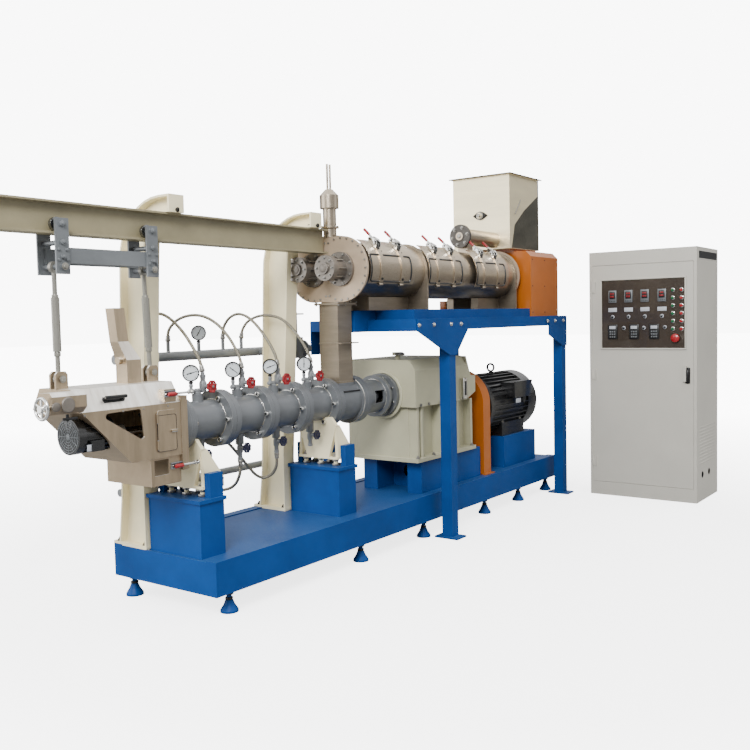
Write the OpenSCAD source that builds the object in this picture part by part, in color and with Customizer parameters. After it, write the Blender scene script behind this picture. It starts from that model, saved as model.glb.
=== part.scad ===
// Fish feed extruder line: a single-screw extruder on a steel skid, with a
// two-shaft conditioner on a platform above it, a face cutter that hangs from
// an overhead rail, and a control cabinet that stands beside the machine.
// X runs along the machine, from the cutter (-) to the main motor (+).
// Z is up from the floor. All lengths are in millimetres.

/* [Skid] */
// Length of the skid
skid_len = 4000; // [3900:10:4300]
// Width of the skid
skid_w = 800; // [780:10:900]
// Height of the skid's beams
skid_h = 180; // [150:10:220]
// Width of a beam's top
beam_w = 70; // [60:5:74]
// How far the deck lies below the beam tops
deck_drop = 6; // [2:1:12]
// Height of the levelling feet
foot_h = 120; // [100:5:150]
// Radius of a foot's pad
foot_r = 48; // [40:1:60]

/* [Barrel] */
// Height of the barrel's axis above the floor
barrel_z = 982; // [960:1:1004]
// Radius of the barrel's jacket
barrel_r = 105; // [98:1:110]
// Radius of the barrel's flanges
flange_r = 155; // [148:1:160]
// Thickness of a flange
flange_t = 35; // [26:1:38]
// Length of the barrel section at the die
first_len = 358; // [354:1:362]
// Length of each of the next three barrel sections
section_len = 304; // [300:1:308]
// Length of the feed section
feed_len = 278; // [272:1:290]
// Length of the open coupling housing
lantern_len = 284; // [276:1:300]
// Radius of the round bore through the barrel
bore_r = 70; // [60:1:80]

/* [Supports] */
// Height of a barrel pedestal's top below the barrel's axis
saddle_drop = 384; // [364:5:404]
// Length of a pedestal along the machine
pedestal_len = 170; // [160:5:200]
// Width of a pedestal across the machine
pedestal_w = 394; // [380:2:420]
// Thickness of a pedestal's top plate
pedestal_plate = 20; // [12:1:30]
// Length of a barrel bracket
bracket_len = 150; // [120:5:160]

/* [Drive] */
// Length of the gearbox
gearbox_len = 815; // [780:5:840]
// Height of the gearbox's foot above the deck
gearbox_rise = 226; // [200:2:250]
// Height of the gearbox
gearbox_h = 702; // [660:2:740]
// Radius of the main motor's body
motor_r = 245; // [220:5:255]
// Length of the main motor
motor_len = 820; // [760:10:860]

/* [Cutter] */
// Width of the cutter hood across the machine
hood_w = 360; // [350:5:380]
// Thickness of the hood's sheet
hood_wall = 8; // [4:1:10]
// Radius of the cutter motor
cutter_motor_r = 84; // [76:1:86]
// Gap between the hood's flange and the die head
die_gap = 5; // [5:1:8]

/* [Rail] */
// Height of the rail's running flange above the floor
rail_z = 1919; // [1900:1:1940]
// Height of the rail's section
rail_h = 150; // [140:2:160]
// Width of the rail's flanges
rail_w = 90; // [84:2:96]
// Distance that the rail reaches past the skid's end
rail_reach = 1300; // [1250:10:1400]
// Width of a post
post_w = 100; // [90:2:110]

/* [Platform] */
// Height of the platform's main beams
platform_z = 1498; // [1480:2:1520]
// Height of a main beam's section
platform_beam = 78; // [70:2:90]
// Width of a leg
leg_w = 80; // [70:2:90]

/* [Conditioner] */
// Height of the conditioner's axes above the floor
drum_z = 1820; // [1800:2:1840]
// Radius of each conditioner drum
drum_r = 172; // [165:1:178]
// Distance between the two drums' axes
drum_pitch = 220; // [200:5:230]
// Length of the conditioner
drum_len = 2040; // [2000:10:2060]
// Thickness of the conditioner's shell
drum_wall = 6; // [4:1:8]

/* [Feeding] */
// Side of the square hopper
hopper_side = 515; // [480:5:530]
// Height of the hopper
hopper_h = 590; // [540:5:640]
// Thickness of the hopper's sheet
hopper_wall = 5; // [3:1:8]

/* [Cabinet] */
// Width of the control cabinet
cabinet_w = 875; // [800:5:900]
// Depth of the control cabinet
cabinet_d = 576; // [500:4:620]
// Height of the control cabinet
cabinet_h = 2010; // [1900:10:2100]
// Thickness of the cabinet's sheet
cabinet_wall = 3; // [2:1:5]

/* [Hidden] */
$fn = 64;

BLUE = "#1668b8";
CREAM = "#c9c6ab";
SILVER = "#8f949a";
STAINLESS = "#b3a894";
ORANGE = "#c97a24";
BLACK = "#26282a";
WHITE = "#dcdcd6";
RED = "#b3262c";

// Clearance between curved faces that meet
fit = 0.3;
// Clearance under a lid or door that lies on its seat
seat = 0.6;

// Places along the machine
barrel_y = -80;
line_y = -90;
barrel_x = -8;
section_x = concat([barrel_x], [for (i = [0:3]) barrel_x + first_len + i * section_len]);
feed_x = section_x[4];
lantern_x = feed_x + feed_len;
lantern_end = lantern_x + lantern_len;
gearbox_x = lantern_end + 90;
skid_top = foot_h + skid_h;
deck_z = skid_top - deck_drop;
pedestal_top = barrel_z - saddle_drop;
bracket_x = [158, section_x[4] + 13];
pedestal_x = [20, bracket_x[1] - 117];
gearbox_y = -350;
gearbox_w = 612;
gearbox_z = skid_top + gearbox_rise - deck_drop;
motor_z = 800;
motor_x = 3010;
guard_x = 2850;
guard_t = 106;
guard_r = 256;
guard_z = 840;
post_x = [0, 1112];
rail_top = rail_z + rail_h;
rail_end = 1300;
trolley_x = [-631, -119];
drum_x = 1330;
drum_end = drum_x + drum_len;
drum_y = [line_y - drum_pitch / 2, line_y + drum_pitch / 2];
platform_x = 1650;
leg_x = [2090, 3892];
platform_end = leg_x[1] + leg_w / 2;
back_start = 1951;
cross_x = [1650, 2050, 2500, 2950, 3400, platform_end - leg_w];
leg_y = [-500, 540];
hopper_x = 3313;
hopper_y = -350;
hopper_z = 2042;
hopper_floor = 60;
feeder_y = -200;
feeder_z = 2112;
feeder_r = 76;
inlet_x = 2870;
feeder_x = inlet_x - 62;
feeder_flange = 14;
housing_x = 3412;
housing_y = [-480, 300];
housing_top = 2020;
housing_end = 3916;
cabinet_x = 3986;
cabinet_y = -1605;
chute_x = 1340;
chute_w = 144;

// Overall extents, which put the origin under the middle of the whole line
low_x = -rail_reach;
high_x = cabinet_x + cabinet_d;
low_y = cabinet_y;
high_y = leg_y[1] + 90;

module place() translate([-(low_x + high_x) / 2, -(low_y + high_y) / 2, 0]) children();

// Outline in Y and Z, run along X
module along_x(x, len) translate([x, 0, 0]) rotate([90, 0, 90]) linear_extrude(len) children();
// Outline in X and Z, run along Y
module along_y(y, len) translate([0, y + len, 0]) rotate([90, 0, 0]) linear_extrude(len) children();
// Round bar along X
module rod_x(x, y, z, r, len) translate([x, y, z]) rotate([0, 90, 0]) cylinder(r = r, h = len);
// Round bar along Y
module rod_y(x, y, z, r, len) translate([x, y, z]) rotate([-90, 0, 0]) cylinder(r = r, h = len);
// Round bar upwards
module rod_z(x, y, z, r, len) translate([x, y, z]) cylinder(r = r, h = len);
// Block from its lowest corner to its highest
module block(a, b) translate(a) cube(b - a);

// ---- Skid
cross_pitch = 500;
foot_end = 60;
foot_near = 570;
foot_x = [[150, 75], [1290, 1290], [2010, 2010], [2870, 2870],
    [skid_len - foot_near, skid_len - foot_near], [skid_len - foot_end, skid_len - foot_end]];
foot_y = 332;
deck_t = 10;

module skid_beams() color(BLUE) place() {
    for (side = [-1, 1])
        translate([0, side * (skid_w - beam_w) / 2 - beam_w / 2, foot_h]) cube([skid_len, beam_w, skid_h]);
    for (x = [0, skid_len - beam_w])
        block([x, beam_w - skid_w / 2 - 1, foot_h], [x + beam_w, skid_w / 2 - beam_w + 1, deck_z]);
    for (i = [1:floor(skid_len / cross_pitch) - 1])
        block([i * skid_len / floor(skid_len / cross_pitch) - beam_w / 2, beam_w - skid_w / 2 - 1, foot_h],
            [i * skid_len / floor(skid_len / cross_pitch) + beam_w / 2, skid_w / 2 - beam_w + 1, deck_z - deck_t]);
}

module skid_deck() color(BLUE) place()
    block([beam_w, beam_w - skid_w / 2, deck_z - deck_t],
        [skid_len - beam_w, skid_w / 2 - beam_w, deck_z]);

module foot(x, y) translate([x, y, 0]) rotate_extrude()
    polygon([[0, 0], [foot_r, 0], [foot_r, 12], [foot_r * 0.62, 40], [foot_r * 0.45, 62],
        [14, 66], [14, foot_h - 14], [22, foot_h - 14], [22, foot_h], [0, foot_h]]);

module levelling_feet() color(BLUE) place()
    for (x = foot_x, side = [0, 1]) foot(x[side], (2 * side - 1) * foot_y);

// ---- Barrel supports
lip = 10;
jack_h = 128;
jack_w = 94;
jack_d = 38;
jack_shift = 121;
bolt_h = 42;
plate_t = 15;

module pedestal(x) {
    block([x, barrel_y - pedestal_w / 2, deck_z],
        [x + pedestal_len, barrel_y + pedestal_w / 2, pedestal_top - pedestal_plate]);
    block([x - lip, barrel_y - pedestal_w / 2 - lip, pedestal_top - pedestal_plate],
        [x + pedestal_len + lip, barrel_y + pedestal_w / 2 + lip, pedestal_top]);
    for (side = [-1, 1])
        translate([x + jack_shift, barrel_y + side * (pedestal_w / 2 - jack_d / 2 - 1), pedestal_top + jack_h / 2])
            cube([jack_w, jack_d, jack_h], center = true);
}

module barrel_pedestals() color(BLUE) place() for (x = pedestal_x) pedestal(x);

// Bracket on jacking bolts: an end plate under the barrel, two leaning sides and a foot plate
module bracket(x) {
    foot_z = pedestal_top + bolt_h;
    end_x = x - bracket_len / 2;
    web_top = barrel_z - barrel_r * 0.77;
    web_wide = foot_z + 212;
    difference() {
        union() {
            along_x(end_x, 24) polygon([[barrel_y - 85, foot_z + 1], [barrel_y + 85, foot_z + 1], [barrel_y + 152, web_wide],
                [barrel_y + 108, web_top], [barrel_y - 108, web_top], [barrel_y - 152, web_wide]]);
            intersection() {
                union() for (side = [-1, 1]) along_x(end_x, bracket_len) polygon([
                    [barrel_y + side * 158, foot_z + 1], [barrel_y + side * 138, foot_z + 1],
                    [barrel_y + side * 128, web_wide], [barrel_y + side * 148, web_wide]]);
                along_y(barrel_y - 200, 400) polygon([[end_x + 8, foot_z], [end_x + bracket_len, foot_z],
                    [end_x + bracket_len, foot_z + 55], [end_x + 40, web_wide], [end_x + 8, web_wide]]);
            }
            block([end_x, barrel_y - 156, foot_z], [end_x + bracket_len, barrel_y + 156, foot_z + plate_t]);
        }
        rod_x(end_x - 1, barrel_y, barrel_z, barrel_r + fit, bracket_len + 2);
    }
    for (dx = [-1, 1], dy = [-1, 0, 1])
        rod_z(x + dx * (bracket_len / 2 - 30), barrel_y + dy * 120, pedestal_top, 13, bolt_h + 1);
}

module barrel_brackets() color(CREAM) place() for (x = bracket_x) bracket(x);

// ---- Barrel
boss_r = 24;
boss_h = 38;
valve_shift = [261, 201, 195, 197];
gauge_gap = [85, 72, 66, 68];
drain_shift = [226, 167, 166, 172];
// The nozzles of section i, from the section's start
function valve_at(i) = section_x[i] + valve_shift[i];
function gauge_at(i) = valve_at(i) - gauge_gap[i];
function drain_at(i) = section_x[i] + drain_shift[i];
function boss_at(i) = valve_at(i) - 42;
boss_top = barrel_z + barrel_r + boss_h;
boss_low = barrel_z - barrel_r - 62;
return_at = [480, 64, barrel_z - 82];

module flanged_tube(x, len) difference() {
    union() {
        rod_x(x, barrel_y, barrel_z, barrel_r, len);
        rod_x(x, barrel_y, barrel_z, flange_r, flange_t);
        rod_x(x + len - flange_t, barrel_y, barrel_z, flange_r, flange_t);
        children();
    }
    rod_x(x - 1, barrel_y, barrel_z, bore_r, len + 2);
}

module barrel_section(i) flanged_tube(section_x[i], section_x[i + 1] - section_x[i]) {
    rod_z(boss_at(i), barrel_y, barrel_z, boss_r + 6, barrel_r + boss_h);
    rod_z(drain_at(i), barrel_y, boss_low, boss_r, barrel_z - boss_low);
    // Return nozzle at the back of the second section
    if (i == 1) block([return_at[0] - 20, barrel_y + 60, return_at[2]], [return_at[0] + 20, return_at[1] + 18, return_at[2] + 40]);
}

module barrel_section_1() color(SILVER) place() barrel_section(0);
module barrel_section_2() color(SILVER) place() barrel_section(1);
module barrel_section_3() color(SILVER) place() barrel_section(2);
module barrel_section_4() color(SILVER) place() barrel_section(3);

die_t = 15;
module die_head() color(SILVER) place() {
    difference() {
        rod_x(barrel_x - die_t, barrel_y, barrel_z, flange_r, die_t);
        for (i = [0:11])
            rod_x(barrel_x - die_t - 1, barrel_y + 50 * cos(i * 30), barrel_z + 50 * sin(i * 30), 8, die_t + 2);
    }
}

throat = [124, 110];
saddle_top = barrel_z + barrel_r + 14;
module feed_section() color(SILVER) place() difference() {
    flanged_tube(feed_x, feed_len)
        block([chute_x - 6, barrel_y - 80, barrel_z], [chute_x + chute_w + 6, barrel_y + 80, saddle_top]);
    block([chute_x + 13, barrel_y - throat[1] / 2, barrel_z],
        [chute_x + 13 + throat[0], barrel_y + throat[1] / 2, saddle_top + 1]);
}

lantern_r = 112;
lantern_bore = 92;
lantern_collar = 126;
lantern_flange = 141;
lantern_plate = 24;
output_r = 148;
output_t = 40;
module coupling_lantern() color(SILVER) place() difference() {
    union() {
        rod_x(lantern_x, barrel_y, barrel_z, flange_r, flange_t);
        rod_x(lantern_x + flange_t, barrel_y, barrel_z, lantern_collar, 60);
        rod_x(lantern_x, barrel_y, barrel_z, lantern_r, gearbox_x - lantern_x);
        rod_x(lantern_end - lantern_plate, barrel_y, barrel_z, lantern_flange, lantern_plate);
        rod_x(gearbox_x - output_t, barrel_y, barrel_z, output_r, output_t);
    }
    rod_x(lantern_x - 1, barrel_y, barrel_z, lantern_bore, gearbox_x - lantern_x + 2);
    for (y = [barrel_y - 150, barrel_y])
        block([lantern_x + 144, y, barrel_z - 36], [lantern_x + 248, y + 150, barrel_z + 46]);
}

shaft_r = 45;
coupling_r = 70;
module screw_shaft() color(SILVER) place() {
    rod_x(barrel_x + 20, barrel_y, barrel_z, shaft_r, gearbox_x - barrel_x - 20);
    rod_x(lantern_x + 130, barrel_y, barrel_z, coupling_r, 110);
}

// ---- Gearbox, stands, guard and motor
gearbox_end = gearbox_x + gearbox_len;
gearbox_top = gearbox_z + gearbox_h;
gear_foot = 28;
gear_waist = gearbox_z + 380;
gear_step = 130;
waist_in = 80;

module gearbox() color(CREAM) place() {
    back = gearbox_y + gearbox_w;
    // Foot flange
    block([gearbox_x + 18, gearbox_y, gearbox_z], [gearbox_end - 5, back, gearbox_z + gear_foot]);
    // Lower case, set back behind the ribs
    block([gearbox_x + 30, gearbox_y + waist_in, gearbox_z + 1], [gearbox_end - 20, back - waist_in, gear_waist + 1]);
    // Upper case with chamfered long edges
    along_x(gearbox_x, gearbox_len - gear_step) polygon([[gearbox_y, gear_waist], [back, gear_waist],
        [back, gearbox_top - 70], [back - 45, gearbox_top], [gearbox_y + 45, gearbox_top], [gearbox_y, gearbox_top - 70]]);
    along_y(gearbox_y + 2, gearbox_w - 4) polygon([[gearbox_end - gear_step - 1, gear_waist], [gearbox_end, gear_waist + 50],
        [gearbox_end, gearbox_top - 152], [gearbox_end - gear_step / 2, gearbox_top - 152],
        [gearbox_end - gear_step - 1, gearbox_top - 2]]);
    // Ribs on both long sides
    for (x = [gearbox_x + 36, gearbox_x + 90, gearbox_x + 330, gearbox_x + 560, gearbox_end - 60])
        for (y = [gearbox_y + 12, back - waist_in - 1])
            block([x, y, gearbox_z + 1], [x + 24, y + waist_in - 11, gear_waist + 1]);
    // Breather
    rod_z(gearbox_x + 90, gearbox_y + 200, gearbox_top - 1, 16, 30);
    rod_z(gearbox_x + 90, gearbox_y + 200, gearbox_top + 28, 38, 22);
    // Sight gauge
    block([gearbox_end - 230, gearbox_y - 12, gearbox_z + 393], [gearbox_end - 178, gearbox_y + 4, gearbox_z + 543]);
}

stand_y = [-326, 50];
stand_gap = 5;
guard_foot = 20;
stand_w = 116;
motor_stand_x = 3240;
motor_stand_len = 560;
motor_stand_y = [-310, 130];
motor_stand_z = motor_z - motor_r - 12;

module drive_stands() color(BLUE) place() {
    for (y = stand_y)
        block([gearbox_x + 93, y, deck_z], [guard_x - guard_foot - stand_gap, y + stand_w, gearbox_z]);
    difference() {
        block([gearbox_x + 300, stand_y[0] + stand_w, deck_z], [gearbox_x + 312, stand_y[1], gearbox_z - 10]);
        rod_x(gearbox_x + 299, barrel_y, (deck_z + gearbox_z) / 2, 45, 20);
    }
    block([motor_stand_x, motor_stand_y[0], deck_z],
        [motor_stand_x + motor_stand_len, motor_stand_y[1], motor_stand_z]);
}

module coupling_guard() color(ORANGE) place() {
    difference() {
        along_x(guard_x, guard_t) union() {
            translate([line_y, guard_z]) circle(r = guard_r, $fn = 64);
            translate([line_y - guard_r, skid_top]) square([2 * guard_r, guard_z - skid_top]);
        }
        along_x(guard_x + 3, guard_t - 6) union() {
            translate([line_y, guard_z]) circle(r = guard_r - 3, $fn = 64);
            translate([line_y - guard_r + 3, skid_top - 1]) square([2 * guard_r - 6, guard_z - skid_top + 1]);
        }
        rod_x(guard_x - 1, line_y, motor_z, 60, guard_t + 2);
    }
    // Feet: the near one on the skid's beam, the far one on the deck
    block([guard_x - guard_foot, line_y - guard_r - 24, skid_top],
        [guard_x + guard_t + guard_foot, line_y - guard_r + 1, skid_top + 8]);
    block([guard_x - guard_foot, line_y + guard_r - 1, deck_z],
        [guard_x + guard_t + guard_foot, line_y + guard_r + 24, skid_top + 8]);
}

fan_len = 190;
module main_motor() color(BLACK) place() {
    body_end = motor_x + motor_len - fan_len;
    rod_x(motor_x, line_y, motor_z, motor_r - 4, 60);
    rod_x(motor_x + 59, line_y, motor_z, motor_r - 22, body_end - motor_x - 59);
    for (i = [0:35]) translate([motor_x + 59, line_y, motor_z]) rotate([i * 10, 0, 0])
        translate([0, -3, motor_r - 30]) cube([body_end - motor_x - 60, 6, 28]);
    rod_x(body_end - 1, line_y, motor_z, motor_r, fan_len - 40);
    translate([body_end + fan_len - 41, line_y, motor_z]) rotate([0, 90, 0])
        cylinder(r1 = motor_r, r2 = motor_r - 34, h = 41);
    // Shaft and coupling, to the gearbox
    rod_x(gearbox_end - 20, line_y, motor_z, 38, motor_x - gearbox_end + 21);
    rod_x(guard_x + 13, line_y, motor_z, 150, guard_t - 26);
    // Feet
    for (side = [-1, 1]) block([motor_stand_x + 20, line_y + side * 150 - 45, motor_stand_z],
        [motor_stand_x + 400, line_y + side * 150 + 45, motor_z - 150]);
    // Terminal box
    block([motor_x + 270, line_y - motor_r - 55, motor_z + 60], [motor_x + 560, line_y - motor_r + 70, motor_z + 175]);
    // Lifting eye
    rod_z(motor_x + 430, line_y, motor_z + motor_r - 40, 16, 52);
    translate([motor_x + 430, line_y, motor_z + motor_r + 38]) rotate([0, 90, 0])
        rotate_extrude() translate([30, 0]) circle(r = 9, $fn = 20);
}

// ---- Overhead rail
rail_web = 8;
rail_flange = 10;
module rail_outline(y, z) {
    translate([y - rail_w / 2, z]) square([rail_w, rail_flange]);
    translate([y - rail_w / 2, z + rail_h - rail_flange]) square([rail_w, rail_flange]);
    translate([y - rail_web / 2, z]) square([rail_web, rail_h]);
}

module overhead_rail() color(CREAM) place() {
    along_x(-rail_reach, rail_reach + rail_end) rail_outline(barrel_y, rail_z);
    // End stop
    block([-rail_reach, barrel_y - rail_w / 2, rail_z + rail_flange], [-rail_reach + 12, barrel_y + rail_w / 2, rail_top - 1]);
}

// A post seen from the end: flange thickness and the bends of its outline
post_flange = 12;
post_web = 10;
arm_y = -150;
bend_r = 330;
bend_y = -70;
bend_z = rail_top - 239;
arm_top = bend_z + bend_r;
post_seat = [130, skid_w / 2 - beam_w];
post_foot = [128, skid_w / 2];
post_foot_t = 14;
post_low = skid_top + post_foot_t;
post_knee = 640;
post_front = [[130, post_low], [130, post_knee], [60, rail_z - 170], [45, rail_z + 20], [-30, rail_top]];
post_back = [[352, post_low], [322, deck_z + 260], [bend_y + bend_r, bend_z]];
bend = [for (a = [90:-10:10]) [bend_y + bend_r * cos(a), bend_z + bend_r * sin(a)]];

module post_face() polygon(concat([[post_seat[0], deck_z], [post_seat[0], skid_top], [post_foot[0], skid_top],
    [post_foot[0], post_low]], post_front, [[arm_y, rail_top], [arm_y, arm_top]], bend,
    [post_back[2], post_back[1], post_back[0]],
    [[post_foot[1], post_low], [post_foot[1], skid_top], [post_seat[1], skid_top], [post_seat[1], deck_z]]));

module post_core() polygon(concat(
    [post_front[0] + [post_flange, 0], post_front[1] + [post_flange, 0], post_front[2] + [post_flange, 0],
        post_front[3] + [post_flange, 6], post_front[4] + [6, post_flange], [arm_y + post_flange, rail_top + post_flange],
        [arm_y + post_flange, arm_top - post_flange]],
    [for (p = bend) [bend_y, bend_z] + (p - [bend_y, bend_z]) * (bend_r - post_flange) / bend_r],
    [post_back[2] - [post_flange, 0], post_back[1] - [post_flange, 0], post_back[0] - [post_flange, 0]]));

module post(x) difference() {
    along_x(x, post_w) post_face();
    along_x(x - 1, (post_w - post_web) / 2 + 1) post_core();
    along_x(x + (post_w + post_web) / 2, (post_w - post_web) / 2 + 1) post_core();
}

// The second post is relieved behind the conditioner's back bearing
relief_in = 36;
relief_gap = 5;
module rail_posts() color(CREAM) place() {
    post(post_x[0]);
    difference() {
        post(post_x[1]);
        rod_x(post_x[1] + relief_in, drum_y[1], drum_z, hub_r + relief_gap, post_w);
    }
}

// ---- Platform
deck_beam = 62;
deck_top = platform_z + deck_beam;
base_plate_t = 12;
base_plate = [120, 180];
anchor = [80, 140];
anchor_r = 8;
cantilever_x = 1500;
upper_x = 1740;
inner_y = [-165, -75];
inner_w = 60;
sub_y = [-470, 210];
sub_w = 80;

module platform_frame() color(BLUE) place() {
    low = platform_z - platform_beam;
    for (side = [0, 1])
        block([side == 0 ? platform_x : back_start, leg_y[side] - leg_w / 2, low],
            [platform_end, leg_y[side] + leg_w / 2, platform_z]);
    for (x = cross_x)
        block([x, leg_y[0] + leg_w / 2 - 1, low],
            [x + leg_w, x < back_start ? inner_y[1] + inner_w + 1 : leg_y[1] - leg_w / 2 + 1, platform_z]);
    // Inner beams that carry the conditioner's front end
    for (y = inner_y) {
        block([cantilever_x, y, low], [cross_x[1] + 1, y + inner_w, platform_z]);
        block([cantilever_x, y, platform_z - 1], [upper_x, y + inner_w, deck_top]);
    }
}

// Rails that the conditioner stands on, with their ties
module conditioner_rails() color(BLUE) place() {
    for (y = sub_y)
        block([upper_x, y, platform_z], [housing_x - 6, y + sub_w, deck_top]);
    for (x = [upper_x, upper_x + 260, drum_end - 60])
        block([x, sub_y[0] + sub_w - 1, platform_z], [x + leg_w, sub_y[1] + 1, deck_top]);
}

gusset_t = 10;
gusset_z = 1250;
module gusset_outline(reach_a, reach_b) polygon([[-leg_w / 2 - reach_a, platform_z - 2], [leg_w / 2 + reach_b, platform_z - 2],
    [leg_w / 2 + reach_b, platform_z - platform_beam], [leg_w / 2, gusset_z], [-leg_w / 2, gusset_z],
    [-leg_w / 2 - reach_a, platform_z - platform_beam]]);

module leg(x, y) {
    block([x - leg_w / 2, y - leg_w / 2, base_plate_t], [x + leg_w / 2, y + leg_w / 2, platform_z - platform_beam]);
    difference() {
        block([x - base_plate[0] / 2, y - base_plate[1] / 2, 0], [x + base_plate[0] / 2, y + base_plate[1] / 2, base_plate_t]);
        for (dx = [-1, 1], dy = [-1, 1])
            rod_z(x + dx * anchor[0] / 2, y + dy * anchor[1] / 2, -1, anchor_r, base_plate_t + 2);
    }
}

module platform_legs() color(BLUE) place() {
    for (x = leg_x, y = leg_y) leg(x, y);
    // Gusset plates over the joints with the frame
    front = leg_y[0] - leg_w / 2 - gusset_t;
    back = leg_y[1] + leg_w / 2;
    along_y(front, gusset_t) translate([leg_x[0], 0]) gusset_outline(390, 160);
    along_y(back, gusset_t) translate([leg_x[0], 0]) polygon([[back_start - leg_x[0], gusset_z],
        [leg_w / 2, gusset_z], [leg_w / 2 + 160, platform_z - platform_beam], [leg_w / 2 + 160, platform_z - 2],
        [back_start - leg_x[0], platform_z - 2]]);
    for (y = [front, back]) along_y(y, gusset_t) intersection() {
        translate([leg_x[1], 0]) gusset_outline(460, 0);
        translate([leg_x[1] - 300, 0]) square([300 + leg_w / 2, 3000]);
    }
}

// ---- Conditioner
door_x = [1412, 2100, 2760];
door_len = [446, 426, 426];
door_low = -28;
door_high = 62;
end_t = 16;
end_r = 205;

// Outline of the two drums side by side, at radius r
module twin(r) {
    for (y = drum_y) translate([y, drum_z]) circle(r = r, $fn = 96);
    translate([line_y - drum_pitch / 2, drum_z]) square([drum_pitch, r - 8]);
    translate([line_y - 40, drum_z - r + 60]) square([80, r]);
}

// Sector of the front drum that a door covers
module door_sector(r) {
    translate([drum_y[0], drum_z]) polygon(concat([[0, 0]],
        [for (a = [door_low:10:door_high]) [-r * cos(a), r * sin(a)]]));
}

vent_x = 1366;
vent_y = line_y;
end_top = drum_z + end_r - 2;
vent_boss = end_top + 1;
inlet_top = drum_z + drum_r + 8;
chute_high = drum_z - end_r - 4;
module conditioner_shell() color(STAINLESS) place() difference() {
    union() {
        along_x(drum_x + end_t, drum_len - 2 * end_t) twin(drum_r);
        rod_z(vent_x + 12, vent_y, drum_z + 100, 30, vent_boss - drum_z - 100);
        // Outlet spout down to the transfer chute
        block([chute_x + 10, barrel_y - 66, chute_high], [chute_x + chute_w - 10, barrel_y + 66, drum_z - 100]);
        block([inlet_x - 50, feeder_y - 50, drum_z + 100], [inlet_x + 50, feeder_y + 50, inlet_top]);
    }
    along_x(drum_x + end_t - 1, drum_len - 2 * end_t + 2) twin(drum_r - drum_wall);
    for (i = [0:2]) along_x(door_x[i] + 12, door_len[i] - 24) intersection() {
        door_sector(2 * drum_r);
        translate([drum_y[0], drum_z]) rotate([0, 0, 3]) circle(r = 2 * drum_r);
    }
    block([chute_x + 16, barrel_y - 60, chute_high - 1], [chute_x + chute_w - 16, barrel_y + 60, drum_z]);
}

module conditioner_ends() color(STAINLESS) place()
    for (x = [drum_x, drum_end - end_t]) along_x(x, end_t) difference() {
        union() {
            for (y = drum_y) translate([y, drum_z]) circle(r = end_r, $fn = 96);
            translate([line_y - drum_pitch / 2, 2 * drum_z - end_top]) square([drum_pitch, 2 * (end_top - drum_z)]);
        }
        for (y = drum_y) translate([y, drum_z]) circle(r = axle_r + fit);
    }

axle_r = 30;
hub_len = 165;
hub_r = 78;
module conditioner_bearings() color(STAINLESS) place() for (i = [0, 1]) {
    y = drum_y[i];
    rod_x(drum_x - 22, y, drum_z, 106, 22);
    rod_x(drum_x - 120, y, drum_z, 66, 99);
    rod_x(drum_x - hub_len, y, drum_z, hub_r, 46);
    rod_x(drum_x - hub_len - 12, y, drum_z, 36, 14);
    rod_x(drum_x - 21, y, drum_z, axle_r, housing_x - drum_x + 21);
    rod_x(drum_end, y, drum_z, 66, housing_x - drum_end);
}

saddle_x = [2027, drum_end - 44];
saddle_t = 14;
saddle_w = 300;
module saddle_plate(x) along_x(x, saddle_t) difference() {
    union() {
        for (y = drum_y) translate([y, drum_z]) circle(r = drum_r + 20, $fn = 96);
        translate([line_y - drum_pitch / 2, drum_z]) square([drum_pitch, drum_r + 18]);
        translate([line_y - saddle_w, deck_top]) square([2 * saddle_w, drum_z - deck_top + 30]);
    }
    twin_clear(drum_r + fit);
}
module twin_clear(r) {
    for (y = drum_y) translate([y, drum_z]) circle(r = r, $fn = 96);
    translate([line_y - drum_pitch / 2, drum_z - r * 0.8]) square([drum_pitch, r * 1.8 - 7]);
}

module conditioner_saddles() color(STAINLESS) place() {
    for (x = saddle_x) saddle_plate(x);
    // Webs under the drums
    for (y = drum_y) {
        block([1560, y - 30, deck_top], [saddle_x[0], y + 30, drum_z - drum_r - fit]);
        block([saddle_x[1] - 330, y - 30, deck_top], [saddle_x[1], y + 30, drum_z - drum_r - fit]);
    }
    // Front rest on the inner beams
    block([1560, drum_y[0] - 40, deck_top], [1574, drum_y[1] + 40, drum_z - drum_r - 1]);
}

vent_r = 42;
vent_cap_r = 60;
vent_cap_z = 182;
module vent_stack() color(STAINLESS) place() translate([vent_x, vent_y, vent_boss]) {
    block([-22, -66, 0], [66, 66, 10]);
    cylinder(r = vent_r, h = vent_cap_z + 1);
    translate([0, 0, 58]) cylinder(r = vent_r + 16, h = 10);
    translate([0, 0, vent_cap_z]) cylinder(r = vent_cap_r, h = 82);
    translate([0, 0, vent_cap_z + 81]) cylinder(r1 = vent_cap_r, r2 = 24, h = 38);
    for (dx = [-14, 14]) translate([dx, 0, vent_cap_z + 100]) cylinder(r = 7, h = 177);
}

chute_low = saddle_top;
module transfer_chute() color(STAINLESS) place() {
    y0 = barrel_y - 75;
    difference() {
        union() {
            block([chute_x, y0, chute_low], [chute_x + chute_w, y0 + 150, chute_high]);
            block([chute_x - 22, y0 - 22, chute_high - 12], [chute_x + chute_w + 22, y0 + 172, chute_high]);
            block([chute_x - 4, y0 - 30, chute_low + 250], [chute_x + chute_w + 34, y0 + 154, chute_low + 258]);
            block([chute_x - 4, y0 - 4, chute_low], [chute_x + chute_w + 1, y0 + 154, chute_low + 12]);
        }
        block([chute_x + 6, y0 + 6, chute_low - 1], [chute_x + chute_w - 6, y0 + 144, chute_high + 1]);
    }
}

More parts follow.
